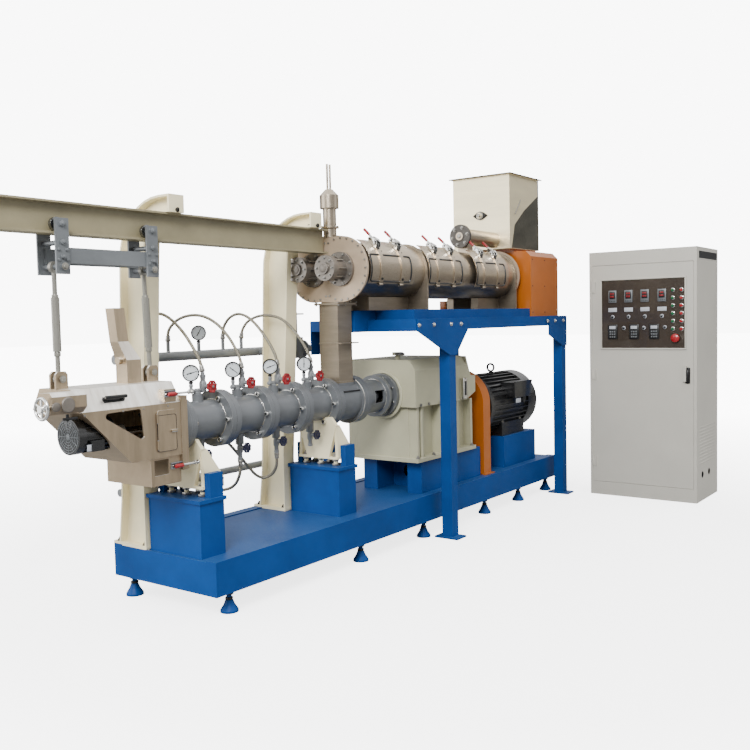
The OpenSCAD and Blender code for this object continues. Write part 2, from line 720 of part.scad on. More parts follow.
// ---- Hopper, feeder and drive housing
module feed_hopper() color(STAINLESS) place() {
    top = hopper_z + hopper_h;
    difference() {
        union() {
            block([hopper_x, hopper_y, hopper_z], [hopper_x + hopper_side, hopper_y + hopper_side, top]);
            block([hopper_x - 22, hopper_y - 22, top - 6], [hopper_x + hopper_side + 22, hopper_y + hopper_side + 22, top]);
        }
        block([hopper_x + hopper_wall, hopper_y + hopper_wall, hopper_z + hopper_floor],
            [hopper_x + hopper_side - hopper_wall, hopper_y + hopper_side - hopper_wall, top + 1]);
    }
    rod_x(hopper_x - 26, hopper_y + 262, hopper_z + 274, 22, 26);
}

module screw_feeder() color(STAINLESS) place() {
    rod_x(feeder_x, feeder_y, feeder_z, feeder_r, feeder_flange);
    rod_x(feeder_x + feeder_flange - 1, feeder_y, feeder_z, feeder_r - 14, hopper_x - feeder_x - feeder_flange + 1);
    rod_x(feeder_x - 28, feeder_y, feeder_z, axle_r, 30);
    block([inlet_x - 40, feeder_y - 40, inlet_top], [inlet_x + 40, feeder_y + 40, feeder_z]);
}

module drive_housing() color(ORANGE) place() {
    along_x(housing_x, housing_end - housing_x) polygon([[housing_y[0], platform_z], [housing_y[1], platform_z],
        [housing_y[1], housing_top - 45], [housing_y[1] - 45, housing_top], [housing_y[0] + 45, housing_top],
        [housing_y[0], housing_top - 45]]);
    block([hopper_x + 110, hopper_y + 20, housing_top], [hopper_x + hopper_side - 20, hopper_y + hopper_side - 20, hopper_z]);
}

// ---- Pipework
manifold_y = 372;
manifold_z = 1312;
manifold_r = 28;
stop_valve_x = 1535;
valve_half = 78;
inlet_len = 60;
manifold_end = stop_valve_x + valve_half + inlet_len;
// Back face of a post at the height z
function post_rear(z) = post_back[1][0] + (post_back[2][0] - post_back[1][0])
    * (z - post_back[1][1]) / (post_back[2][1] - post_back[1][1]);
drain_pipe_z = 575;
drain_pipe_r = 22;
pipe_start = 30;
drain_len = 1370;
stub_x = [262, 412, 851, 1012];
manifold_gauge_x = 650;
drain_stub_x = 470;
stub_h = 60;

stop_flange = 60;
stop_flange_t = 16;
stop_wheel_r = 62;
stop_wheel_z = manifold_z + 238;
clamp_x = [40, 1142];
clamp_w = 40;
clamp_h = 14;
module steam_manifold() color(SILVER) place() {
    rod_x(pipe_start, manifold_y, manifold_z, manifold_r, stop_valve_x - valve_half - pipe_start);
    // Inlet, with the bore that the steam pipe comes to
    difference() {
        rod_x(stop_valve_x + valve_half, manifold_y, manifold_z, manifold_r, inlet_len);
        rod_x(stop_valve_x + valve_half - 1, manifold_y, manifold_z, manifold_r - 6, inlet_len + 2);
    }
}

// Stop valve near the inlet, and what stands on the pipe or holds it
module manifold_fittings() color(SILVER) place() {
    for (x = [stop_valve_x - valve_half, stop_valve_x + valve_half - stop_flange_t])
        rod_x(x, manifold_y, manifold_z, stop_flange, stop_flange_t);
    rod_x(stop_valve_x - valve_half + 8, manifold_y, manifold_z, 42, 2 * valve_half - 16);
    rod_z(stop_valve_x, manifold_y, manifold_z - 62, 52, 142);
    rod_z(stop_valve_x, manifold_y, manifold_z, 16, stop_wheel_z - manifold_z + 14);
    translate([stop_valve_x, manifold_y, stop_wheel_z]) rotate([-90, 0, 0]) hand_wheel(0, 0, 0, stop_wheel_r);
    for (x = stub_x) rod_z(x, manifold_y, manifold_z + manifold_r + fit, 11, stub_h - fit);
    rod_z(manifold_gauge_x, manifold_y, manifold_z + manifold_r + fit, 11, gauge_stem - fit);
    for (x = clamp_x) block([x, post_rear(manifold_z - clamp_h) + fit, manifold_z - clamp_h],
        [x + clamp_w, manifold_y - manifold_r - fit, manifold_z + clamp_h]);
}

module drain_manifold() color(SILVER) place() {
    rod_x(pipe_start, manifold_y, drain_pipe_z, drain_pipe_r, drain_len);
    rod_z(drain_stub_x, manifold_y, drain_pipe_z - 60, 11, 60);
    for (x = post_x) block([x + pipe_start, post_back[1][0], drain_pipe_z - 12],
        [x + pipe_start + clamp_w, manifold_y, drain_pipe_z + 12]);
}

valve_top = boss_top + 116;
spindle_z = boss_top + 38;
wheel_y = barrel_y - 70;
module hand_wheel(x, y, z, r) {
    translate([x, y, z]) rotate([90, 0, 0]) {
        rotate_extrude() translate([r - 5, 0]) circle(r = 5, $fn = 16);
        for (a = [0:60:150]) rotate([0, 0, a]) translate([-r + 5, -3, -3]) cube([2 * r - 10, 6, 6]);
        translate([0, 0, -6]) cylinder(r = 8, h = 12);
    }
}

module steam_valve(i) {
    x = valve_at(i);
    rod_z(boss_at(i), barrel_y, boss_top, 22, 12);
    block([gauge_at(i) - 14, barrel_y - 12, boss_top + 8], [x + 16, barrel_y + 12, boss_top + 26]);
    rod_z(x, barrel_y, boss_top + 8, 14, valve_top - boss_top - 8);
    rod_z(x, barrel_y, boss_top + 28, 20, 34);
    rod_y(x, wheel_y, spindle_z, 7, barrel_y - wheel_y);
    hand_wheel(x, wheel_y, spindle_z, 33);
    rod_z(gauge_at(i), barrel_y, boss_top + 20, 8, gauge_low - boss_top - 20);
}
module steam_valves() color(RED) place() for (i = [0:3]) steam_valve(i);

gauge_r = 46;
gauge_turn = -35;
gauge_stem = 46;
gauge_low = boss_top + 56;
// A gauge that stands on a stem whose top is at z
module gauge(x, y, z) translate([x, y, z + gauge_r + 12]) rotate([0, 0, gauge_turn]) {
    rotate([90, 0, 0]) translate([0, 0, -16]) cylinder(r = gauge_r, h = 32);
    translate([0, 0, -gauge_r - 12]) cylinder(r = 9, h = 20);
}
module pressure_gauges() color(BLACK) place() {
    for (i = [0:3]) gauge(gauge_at(i), barrel_y, gauge_low);
    gauge(manifold_gauge_x, manifold_y, manifold_z + manifold_r + gauge_stem);
}

drain_spindle = boss_low - 17;
drain_end = boss_low - 90;
module drain_valves() color(BLUE) place() for (i = [0:3]) {
    x = drain_at(i);
    rod_z(x, barrel_y, drain_end, 13, boss_low - drain_end);
    rod_z(x, barrel_y, drain_spindle - 15, 18, 30);
    rod_y(x, wheel_y + 14, drain_spindle, 6, barrel_y - wheel_y - 14);
    hand_wheel(x, wheel_y + 14, drain_spindle, 27);
}

// ---- Hoses: a tube with flat ends, swept along a smooth curve through the points
hose_r = 9;
ring = 8;
function smooth(p, n) = let (q = concat([2 * p[0] - p[1]], p, [2 * p[len(p) - 1] - p[len(p) - 2]])) concat(
    [for (i = [1:len(p) - 1], k = [0:n - 1]) let (t = k / n)
        0.5 * (2 * q[i] + (q[i + 1] - q[i - 1]) * t + (2 * q[i - 1] - 5 * q[i] + 4 * q[i + 1] - q[i + 2]) * t * t
        + (3 * q[i] - q[i - 1] - 3 * q[i + 1] + q[i + 2]) * t * t * t)], [p[len(p) - 1]]);
function unit(v) = v / norm(v);
function upright(v) = [0, 0, v[2] < 0 ? -1 : 1];
function along(c, i) = i == 0 ? upright(c[1] - c[0]) : i == len(c) - 1 ? upright(c[i] - c[i - 1])
    : unit(c[i + 1] - c[i - 1]);
function across(t, s) = unit(s - (s * t) * t);

// side is a direction that the route never runs along
module hose(points, r, n, side) {
    c = smooth(points, n);
    m = len(c);
    verts = [for (i = [0:m - 1]) let (t = along(c, i), a = across(t, side), b = cross(t, a))
        for (k = [0:ring - 1]) c[i] + r * (a * cos(360 * k / ring) + b * sin(360 * k / ring))];
    sides = [for (i = [0:m - 2], k = [0:ring - 1]) let (j = (k + 1) % ring)
        [i * ring + k, i * ring + j, (i + 1) * ring + j, (i + 1) * ring + k]];
    ends = [[for (k = [ring - 1:-1:0]) k], [for (k = [0:ring - 1]) (m - 1) * ring + k]];
    polyhedron(verts, concat(sides, ends));
}

route_1 = [[262, 372, 1400], [260, 362, 1466], [246, 318, 1526], [228, 250, 1556], [218, 180, 1554],
    [224, 110, 1518], [238, 40, 1450], [248, -20, 1368], [252, -62, 1300], [253, -80, 1241]];
route_2 = [[412, 372, 1400], [414, 362, 1466], [440, 318, 1522], [484, 258, 1548], [524, 184, 1540],
    [552, 106, 1494], [562, 30, 1422], [558, -34, 1346], [552, -70, 1290], [551, -80, 1241]];
route_3 = [[851, 372, 1400], [850, 362, 1466], [853, 318, 1524], [858, 252, 1552], [862, 180, 1540],
    [864, 104, 1492], [862, 30, 1420], [856, -34, 1346], [850, -70, 1290], [849, -80, 1241]];
route_4 = [[1012, 372, 1400], [1018, 364, 1452], [1036, 342, 1498], [1052, 300, 1526], [1060, 236, 1541],
    [1069, 170, 1540], [1080, 96, 1521], [1100, 36, 1474], [1122, -14, 1408], [1142, -50, 1340],
    [1154, -72, 1284], [1155, -80, 1241]];
route_5 = [[517, -80, 725], [517, -80, 690], [522, -66, 640], [540, -20, 586], [566, 50, 546],
    [580, 130, 522], [574, 210, 508], [548, 290, 496], [508, 350, 484], [478, 370, 492], [470, 372, 515]];
route_6 = [[820, -80, 725], [820, -80, 690], [828, -66, 640], [832, -26, 592], [814, 20, 568],
    [774, 48, 588], [720, 60, 648], [660, 66, 716], [596, 68, 782], [534, 66, 834], [492, 64, 868], [480, 64, 900]];

module steam_hose_1() color(SILVER) place() hose(route_1, hose_r, 4, [1, 0, 0]);
module steam_hose_2() color(SILVER) place() hose(route_2, hose_r, 4, [1, 0, 0]);
module steam_hose_3() color(SILVER) place() hose(route_3, hose_r, 4, [1, 0, 0]);
module steam_hose_4() color(SILVER) place() hose(route_4, hose_r, 4, [1, 0, 0]);
module drain_hose_1() color(SILVER) place() hose(route_5, hose_r, 4, [1, 0, 0.2]);
module drain_hose_2() color(SILVER) place() hose(route_6, hose_r, 4, [1, 0, 0.2]);

// ---- Cutter carriage
plate_y = 70;
plate_x = 35;
plate_low = 1736;
plate_high = 1988;
link_z = [1786, 1858];
wheel_r = 33;
axle_z = rail_z + rail_flange + wheel_r + fit;
hang_z = 1771;

module trolleys() color(SILVER) place() {
    for (side = [-1, 1]) {
        y = barrel_y + side * plate_y;
        for (x = trolley_x) block([x - plate_x, y - 5, plate_low], [x + plate_x, y + 5, plate_high]);
        block([trolley_x[0], y - side * 9 - 4.5, link_z[0]], [trolley_x[1], y - side * 9 + 4.5, link_z[1]]);
        for (x = trolley_x) rod_y(x, side < 0 ? y : y - 50, axle_z, 9, 50);
    }
    for (x = trolley_x) {
        rod_y(x, barrel_y - plate_y - 16, rail_z - 40, 12, 2 * plate_y + 32);
        rod_y(x, barrel_y - plate_y - 16, hang_z, 12, 2 * plate_y + 32);
    }
}

module trolley_wheels() color(SILVER) place() for (x = trolley_x, side = [-1, 1]) difference() {
    rod_y(x, barrel_y + side * 30 - 10, axle_z, wheel_r, 20);
    rod_y(x, barrel_y + side * 30 - 12, axle_z, 9 + fit, 24);
}

hood_eave = 1114;
roof_rise = 102;
hood_top = hood_eave + roof_rise;
lug_h = 80;
lug_pin = hood_top + 45;
sleeve_drop = 140;
sleeve_rise = 125;
lug_x = [-632, -102];
module hanger(x_top, x_low) {
    difference() {
        union() {
            rod_y(x_top, barrel_y - 10, hang_z, 26, 20);
            hull() {
                translate([x_top, barrel_y, hang_z - 22]) cylinder(r = 11, h = 2, $fn = 20);
                translate([x_low, barrel_y, lug_pin + 20]) cylinder(r = 11, h = 2, $fn = 20);
            }
            hull() {
                translate([x_top + (x_low - x_top) * 0.28, barrel_y, hang_z - sleeve_drop]) cylinder(r = 19, h = 2, $fn = 24);
                translate([x_top + (x_low - x_top) * 0.76, barrel_y, lug_pin + sleeve_rise]) cylinder(r = 19, h = 2, $fn = 24);
            }
            rod_y(x_low, barrel_y - 10, lug_pin, 24, 20);
        }
        rod_y(x_top, barrel_y - 12, hang_z, 12 + fit, 24);
        rod_y(x_low, barrel_y - 12, lug_pin, 10 + fit, 24);
    }
}
module hanger_rods() color(SILVER) place() {
    for (i = [0, 1]) hanger(trolley_x[i], lug_x[i]);
}

hood_y = [barrel_y - hood_w / 2, barrel_y + hood_w / 2];
hood_x = barrel_x - die_t - die_gap;
hood_flange = 40;
hood_right = hood_x - hood_flange;
hood_left = -655;
hood_floor = 850;
flange_low = 772;
flange_rise = 30;
slope = [[-645, hood_eave], [-380, hood_floor]];
hood_roof_y = [hood_y[0] + 60, hood_y[1] - 60];
motor_at = [hood_y[0] + 100, 1000];
cutter_motor_x = -650;
cutter_motor_len = 204;
panel = [[-214, hood_floor + 34], [-112, hood_eave - 40]];
window_x = [-238, -148];
drop = [[-248, -77], [hood_y[0] + 20, hood_y[1] - 20]];

module window_outline() hull() for (p = [[-502, hood_eave - 32], [-328, hood_eave - 28], [-316, hood_floor + 122]])
    translate(p) circle(r = 15, $fn = 24);

clamp_z = [hood_floor - 50, hood_eave + 46];
knife_bearing = [-400, -290];
knife_shaft_r = 16;
module cutter_hood() color(STAINLESS) place() {
    hood_shell();
    // Bearing of the knife shaft on its pedestal
    difference() {
        union() {
            rod_x(knife_bearing[0], barrel_y, barrel_z, 34, knife_bearing[1] - knife_bearing[0]);
            block([-366, barrel_y - 22, hood_floor + 1], [-326, barrel_y + 22, barrel_z - 12]);
        }
        rod_x(knife_bearing[0] + 6, barrel_y, barrel_z, knife_shaft_r + fit, knife_bearing[1] - knife_bearing[0]);
    }
}

module cutter_knives() color(SILVER) place() {
    rod_x(knife_bearing[0] + 7, barrel_y, barrel_z, knife_shaft_r, -hood_flange - knife_bearing[0] - 7);
    rod_x(-84, barrel_y, barrel_z, 52, 24);
    for (a = [0:90:270]) translate([0, barrel_y, barrel_z]) rotate([a, 0, 0])
        block([-72, -9, 30], [-50, 9, 86]);
}

module hood_shell() difference() {
    union() {
        along_y(hood_y[0], hood_w) polygon([slope[0], slope[1], [hood_right, hood_floor], [hood_right, hood_eave]]);
        along_x(hood_left, hood_right - hood_left) polygon([[hood_y[0], hood_eave - 1], [hood_y[1], hood_eave - 1],
            [hood_roof_y[1], hood_top], [hood_roof_y[0], hood_top]]);
        block([hood_right - 1, hood_y[0] - 4, flange_low], [hood_x, hood_y[1] + 4, hood_eave + flange_rise]);
        // Box that carries the adjusting screw
        along_x(-815, 175) polygon([[hood_y[0] - 36, hood_eave + 32], [hood_y[0] - 6, hood_eave + 4],
            [hood_y[0] + 66, hood_eave + 4], [hood_y[0] + 66, hood_top - 4], [hood_y[0] - 18, hood_top],
            [hood_y[0] - 36, hood_top - 18]]);
        // Lugs for the hangers
        for (x = lug_x, side = [-1, 1])
            along_y(barrel_y + side * 20 - 6, 12) polygon([[x - 32, hood_top - 1], [x + 32, hood_top - 1], [x + 32, hood_top + 66],
                [x + 20, hood_top + lug_h], [x - 20, hood_top + lug_h], [x - 32, hood_top + 66]]);
        for (x = lug_x) rod_y(x, barrel_y - 34, lug_pin, 10, 68);
        // Pad for the upper clamp
        block([-170, hood_y[0], hood_eave + 6], [-96, hood_y[0] + 60, clamp_z[1] + 22]);
    }
    // Inside of the hood
    along_y(hood_y[0] + hood_wall, hood_w - 2 * hood_wall) polygon([[slope[0][0] + 22, hood_eave], [slope[1][0] + 4, hood_floor + hood_wall],
        [hood_right - 8, hood_floor + hood_wall], [hood_right - 8, hood_eave]]);
    along_x(hood_left + 60, hood_right - hood_left - 68) polygon([[hood_y[0] + 14, hood_eave - 2], [hood_y[1] - 14, hood_eave - 2],
        [hood_roof_y[1] - 6, hood_top - hood_wall], [hood_roof_y[0] + 6, hood_top - hood_wall]]);
    // Openings: die, windows, panel, motor and the way down
    rod_x(hood_right - 20, barrel_y, barrel_z, 96, hood_flange + 22);
    along_y(hood_y[0] - 1, hood_w + 2) window_outline();
    block([panel[0][0], hood_y[0] - 1, panel[0][1]], [panel[1][0], hood_y[0] + hood_wall + 1, panel[1][1]]);
    rod_x(cutter_motor_x - 50, motor_at[0], motor_at[1], cutter_motor_r + fit, cutter_motor_len + 60);
    block([drop[0][0], drop[1][0], hood_floor - 1], [drop[0][1], drop[1][1], hood_floor + hood_wall + 1]);
    block([duct_at[0] - duct_half + 4, duct_at[1] - duct_half + 4, hood_top - 2 * hood_wall],
        [duct_at[0] + duct_half - 4, duct_at[1] + duct_half - 4, hood_top + 1]);
}

drop_x = -258;
drop_low = 712;
module discharge_chute() color(STAINLESS) place() difference() {
    y = [hood_y[0] + 10, hood_y[1] - 10];
    block([drop_x, y[0], drop_low], [hood_right - 2, y[1], hood_floor]);
    block([drop_x + hood_wall, y[0] + hood_wall, drop_low - 1],
        [hood_right - 2 - hood_wall, y[1] - hood_wall, hood_floor + 1]);
    block([window_x[0], y[0] - 1, drop_low + 50], [window_x[1], y[0] + hood_wall + 1, hood_floor - 12]);
}

module cutter_motor() color(BLACK) place() {
    x = cutter_motor_x;
    rod_x(x, motor_at[0], motor_at[1], cutter_motor_r, 42);
    rod_x(x + 41, motor_at[0], motor_at[1], cutter_motor_r - 12, 152);
    rod_x(x + cutter_motor_len - 14, motor_at[0], motor_at[1], cutter_motor_r - 4, 14);
    for (a = [0:20:340]) translate([x + 41, motor_at[0], motor_at[1]]) rotate([a, 0, 0])
        translate([0, -2, cutter_motor_r - 16]) cube([150, 4, 14]);
    block([x + 60, motor_at[0] - cutter_motor_r - 4, motor_at[1] - 70], [x + 130, motor_at[0] - cutter_motor_r + 22, motor_at[1] - 20]);
}

duct_at = [-235, barrel_y];
duct_half = 43;
duct_bend = [hood_top + 114, hood_top + 204];
duct_neck = [-262, -50];
duct_tip = [-273, -40, hood_top + 369];
neck_half = 32;
// Slice of the duct: a thin square plate
module slice(x, y, z, half) translate([x - half, y - half, z - 0.5]) cube([2 * half, 2 * half, 1]);
module duct_solid(in) {
    slit = in > 0 ? 1 : 0;
    hull() {
        slice(duct_at[0], duct_at[1], hood_top + 0.5 - slit, duct_half - in);
        slice(duct_at[0], duct_at[1], duct_bend[0], duct_half - in);
    }
    hull() {
        slice(duct_at[0], duct_at[1], duct_bend[0], duct_half - in);
        slice(duct_neck[0], duct_neck[1], duct_bend[1], neck_half - in);
    }
    hull() {
        slice(duct_neck[0], duct_neck[1], duct_bend[1], neck_half - in);
        slice(duct_tip[0], duct_tip[1], duct_tip[2] - 0.5 + slit, neck_half - in);
    }
}
module air_duct() color(STAINLESS) place() {
    difference() {
        duct_solid(0);
        duct_solid(4);
    }
    rod_x(duct_at[0] - duct_half - 24, barrel_y, hood_top + 112, 18, 25);
}

module toggle(x, y, z, side) {
    block([x - 60, side < 0 ? y - 14 : y, z - 16], [x + 10, side < 0 ? y : y + 14, z + 16]);
    rod_x(x - 10, y + side * 26, z, 6, 118);
    rod_x(x - 50, y + side * 26, z - 2, 11, 52);
    block([x - 40, side < 0 ? y - 28 : y + 12, z - 8], [x - 20, side < 0 ? y - 12 : y + 28, z + 8]);
}
module toggle_clamps() color(RED) place() {
    toggle(-115, hood_y[0], clamp_z[1], -1);
    toggle(-80, hood_y[0] + 10, clamp_z[0], -1);
}

handwheel_at = [-848, hood_y[0] - 6, hood_eave + 36];
module cutter_handwheel() color(STAINLESS) place() translate(handwheel_at) rotate([0, 90, 0]) {
    rotate_extrude() translate([46, 0]) circle(r = 7, $fn = 20);
    for (a = [0, 60, 120]) rotate([0, 0, a]) translate([-44, -4, -4]) cube([88, 8, 8]);
    translate([0, 0, -12]) cylinder(r = 16, h = 44.7);
}

door_t = 6;
module cutter_door() color(STAINLESS) place() {
    y = hood_y[0] - seat - door_t;
    along_y(y, door_t) hull() for (x = [panel[0][0] - 6 + 12, panel[1][0] + 10 - 12], z = [panel[0][1] - 6 + 12, panel[1][1] + 8 - 12])
        translate([x, z]) circle(r = 12, $fn = 24);
    for (z = [panel[0][1] + 30, panel[1][1] - 30]) rod_z(panel[0][0] - 8, y + 1, z - 22, 5, 44);
    grip_z = (panel[0][1] + panel[1][1]) / 2 - 7;
    block([panel[1][0] - 30, y - 10, grip_z], [panel[1][0] + 8, y + 1, grip_z + 10]);
}

// ---- Conditioner doors
door_gap = fit;
door_skin = 5;
strap_w = 38;
hinge_r = drum_r + 14;
function hinge_y() = drum_y[0] - hinge_r * cos(door_low);
function hinge_z() = drum_z + hinge_r * sin(door_low);

module door_arc(r_in, r_out) intersection() {
    door_sector(2 * drum_r);
    translate([drum_y[0], drum_z]) difference() {
        circle(r = r_out, $fn = 96);
        circle(r = r_in, $fn = 96);
    }
}

module conditioner_door(i) {
    skin = drum_r + door_gap;
    along_x(door_x[i], door_len[i]) door_arc(skin, skin + door_skin);
    for (x = [door_x[i] + 18, door_x[i] + door_len[i] - 18 - strap_w]) {
        along_x(x, strap_w) door_arc(skin, skin + door_skin + 7);
    }
    rod_x(door_x[i] + 40, hinge_y(), hinge_z(), 8, door_len[i] - 80);
    // Toggles with their levers
    for (x = [door_x[i] + 18, door_x[i] + door_len[i] - 18 - strap_w])
        translate([x, drum_y[0], drum_z]) rotate([90 - door_high + 6, 0, 0]) {
            translate([5, -14, skin + 2]) cube([28, 28, 36]);
            translate([19, -2, skin + 30]) rotate([-62, 0, 0]) cylinder(r = 7, h = 85, $fn = 20);
        }
}
module conditioner_door_1() color(STAINLESS) place() conditioner_door(0);
module conditioner_door_2() color(STAINLESS) place() conditioner_door(1);
module conditioner_door_3() color(STAINLESS) place() conditioner_door(2);

// ---- Control cabinet
plinth_h = 110;
band_h = 110;
cable_r = 22;
cable_x = [150, 330];
cable_z = 210;
door_side = 24;
cab_door_t = 20;
knuckle_r = 5;
knuckle_x = -knuckle_r - 1;
knuckle_len = 90;
knuckle_z = [240, 960, 1680];

module control_cabinet() color(WHITE) place() translate([cabinet_x, cabinet_y, 0]) difference() {
    cube([cabinet_d, cabinet_w, cabinet_h]);
    translate([-1, door_side, plinth_h]) cube([cabinet_d - cabinet_wall + 1, cabinet_w - 2 * door_side, cabinet_h - plinth_h - band_h]);
    translate([30, cabinet_wall, plinth_h]) cube([cabinet_d - 30 - cabinet_wall, cabinet_w - 2 * cabinet_wall, cabinet_h - plinth_h - band_h]);
    for (x = cable_x) rod_y(x, -1, cable_z, cable_r, cabinet_wall + 2);
}

module cabinet_panel() color(SILVER) place() translate([cabinet_x, cabinet_y, 0])
    block([cabinet_d - 90, 60, plinth_h], [cabinet_d - 87, cabinet_w - 60, cabinet_h - band_h]);

module cabinet_door() color(WHITE) place() translate([cabinet_x, cabinet_y, 0]) {
    leaf_end = cabinet_w - door_side - fit;
    difference() {
        block([2, door_side + 2, plinth_h + 2], [2 + cab_door_t, leaf_end, cabinet_h - band_h - 2]);
        block([5, door_side + 20, plinth_h + 20], [3 + cab_door_t, cabinet_w - door_side - 20, cabinet_h - band_h - 20]);
    }
    // Lock handle
    block([-22, 78, 960], [3, 100, 1080]);
    // Hinge knuckles with their leaves
    for (z = knuckle_z) {
        rod_z(knuckle_x, leaf_end, z, knuckle_r, knuckle_len);
        block([knuckle_x, leaf_end - 30, z], [knuckle_x + 2, leaf_end - 1, z + knuckle_len]);
        block([knuckle_x, leaf_end - 30, z], [3, leaf_end - knuckle_r - 4, z + knuckle_len]);
    }
}

skid_beams();
skid_deck();
levelling_feet();
barrel_pedestals();
barrel_brackets();
die_head();
barrel_section_1();
barrel_section_2();
barrel_section_3();
barrel_section_4();
feed_section();
coupling_lantern();
screw_shaft();
gearbox();
drive_stands();
coupling_guard();
main_motor();
rail_posts();
overhead_rail();
platform_frame();
conditioner_rails();
platform_legs();
conditioner_shell();
conditioner_ends();
conditioner_bearings();
conditioner_saddles();
vent_stack();
transfer_chute();
feed_hopper();
screw_feeder();
drive_housing();
steam_manifold();
manifold_fittings();
drain_manifold();
steam_valves();
pressure_gauges();
drain_valves();
steam_hose_1();
steam_hose_2();
steam_hose_3();
steam_hose_4();
drain_hose_1();
drain_hose_2();
trolleys();
trolley_wheels();
hanger_rods();
cutter_hood();
discharge_chute();
cutter_motor();
air_duct();
toggle_clamps();
cutter_knives();
cutter_handwheel();
cutter_door();
conditioner_door_1();
conditioner_door_2();
conditioner_door_3();
control_cabinet();
cabinet_panel();
cabinet_door();
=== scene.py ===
import math
import bmesh
import bpy
from mathutils import Matrix, Vector


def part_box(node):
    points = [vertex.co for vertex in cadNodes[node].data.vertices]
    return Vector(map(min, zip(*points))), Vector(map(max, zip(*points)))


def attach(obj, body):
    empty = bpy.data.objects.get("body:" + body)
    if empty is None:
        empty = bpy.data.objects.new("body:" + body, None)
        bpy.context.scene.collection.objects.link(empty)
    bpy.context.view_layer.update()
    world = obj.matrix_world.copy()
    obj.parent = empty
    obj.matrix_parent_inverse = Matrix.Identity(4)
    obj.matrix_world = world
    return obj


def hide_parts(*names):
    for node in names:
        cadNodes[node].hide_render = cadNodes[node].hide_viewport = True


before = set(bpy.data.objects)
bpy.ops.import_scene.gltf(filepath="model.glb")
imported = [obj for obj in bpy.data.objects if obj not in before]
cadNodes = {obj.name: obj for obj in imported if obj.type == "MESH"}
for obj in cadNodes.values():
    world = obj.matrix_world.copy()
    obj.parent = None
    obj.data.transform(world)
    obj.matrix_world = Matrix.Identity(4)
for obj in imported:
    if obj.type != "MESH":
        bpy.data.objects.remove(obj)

scene = bpy.context.scene
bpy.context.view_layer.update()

# Lengths below are in millimetres from the left end of the skid, on its centre line and the floor
skidLow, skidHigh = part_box("skid_beams")
zero = Vector((skidLow.x, (skidLow.y + skidHigh.y) / 2, 0))
toRow = Matrix.Translation(zero) @ Matrix.Scale(0.001, 4)


def boxOf(nodeName):
    low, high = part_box(nodeName)
    return (low - zero) * 1000, (high - zero) * 1000


def row(point):
    return zero + Vector(point) / 1000


# Camera
cameraSetup = {"place": (-3065, -3650, 1500), "turn": (86.4351, 1.3025, -53.9718), "lens": 42.70}
camData = bpy.data.cameras.new("camera")
camData.lens = cameraSetup["lens"]
camData.sensor_width = 36
camera = bpy.data.objects.new("camera", camData)
camera.location = row(cameraSetup["place"])
camera.rotation_euler = [math.radians(a) for a in cameraSetup["turn"]]
scene.collection.objects.link(camera)
scene.camera = camera
print("camera set")


# Finishes: paints, steels and plastics, from noise in the pieces' own coordinates
def tint(code):
    code = code.lstrip("#")
    parts = [int(code[i:i + 2], 16) / 255 for i in (0, 2, 4)]
    return [p / 12.92 if p <= 0.04045 else ((p + 0.055) / 1.055) ** 2.4 for p in parts]


def shade(colour, amount):
    return [min(1, max(0, c * amount)) for c in colour] + [1]


def addNode(tree, kind, inputs=None, **settings):
    made = tree.nodes.new(kind)
    for key, value in settings.items():
        setattr(made, key, value)
    for key, value in (inputs or {}).items():
        made.inputs[key].default_value = value
    return made


# One colour laid over what is below it, by an amount
def mixOver(tree, amount, below, colour):
    mix = addNode(tree, "ShaderNodeMix", data_type="RGBA")
    mix.inputs["B"].default_value = shade(tint(colour), 1)
    tree.links.new(amount, mix.inputs["Factor"])
    tree.links.new(below, mix.inputs["A"])
    return mix.outputs["Result"]


# Value stretched from one range to another
def remap(tree, value, source, target):
    limits = dict(zip(("From Min", "From Max", "To Min", "To Max"), (*source, *target)))
    stretched = addNode(tree, "ShaderNodeMapRange", limits)
    tree.links.new(value, stretched.inputs["Value"])
    return stretched.outputs["Result"]


# Colour laid over by how far a surface faces up: dust on tops; with its limits turned round, painted shade on
# undersides; and on sheets that lean up, a painted highlight
def addDustAndPaintedLight(tree, below, cloud, colour, most, low, high):
    facing = addNode(tree, "ShaderNodeNewGeometry")
    split = addNode(tree, "ShaderNodeSeparateXYZ")
    tree.links.new(facing.outputs["Normal"], split.inputs["Vector"])
    amount = remap(tree, split.outputs["Z"], (low, high), (0.0, most))
    patch = addNode(tree, "ShaderNodeMath", operation="MULTIPLY")
    tree.links.new(amount, patch.inputs[0])
    tree.links.new(cloud.outputs["Fac"], patch.inputs[1])
    return mixOver(tree, patch.outputs["Value"], below, colour)


# Rubbed edges, where the rounded normal leaves the flat one
def addWear(tree, below, rounded, colour):
    flat = addNode(tree, "ShaderNodeNewGeometry")
    match = addNode(tree, "ShaderNodeVectorMath", operation="DOT_PRODUCT")
    tree.links.new(flat.outputs["Normal"], match.inputs[0])
    tree.links.new(rounded.outputs["Normal"], match.inputs[1])
    rub = remap(tree, match.outputs["Value"], (0.985, 0.86), (0.0, 0.55))
    return mixOver(tree, rub, below, colour)


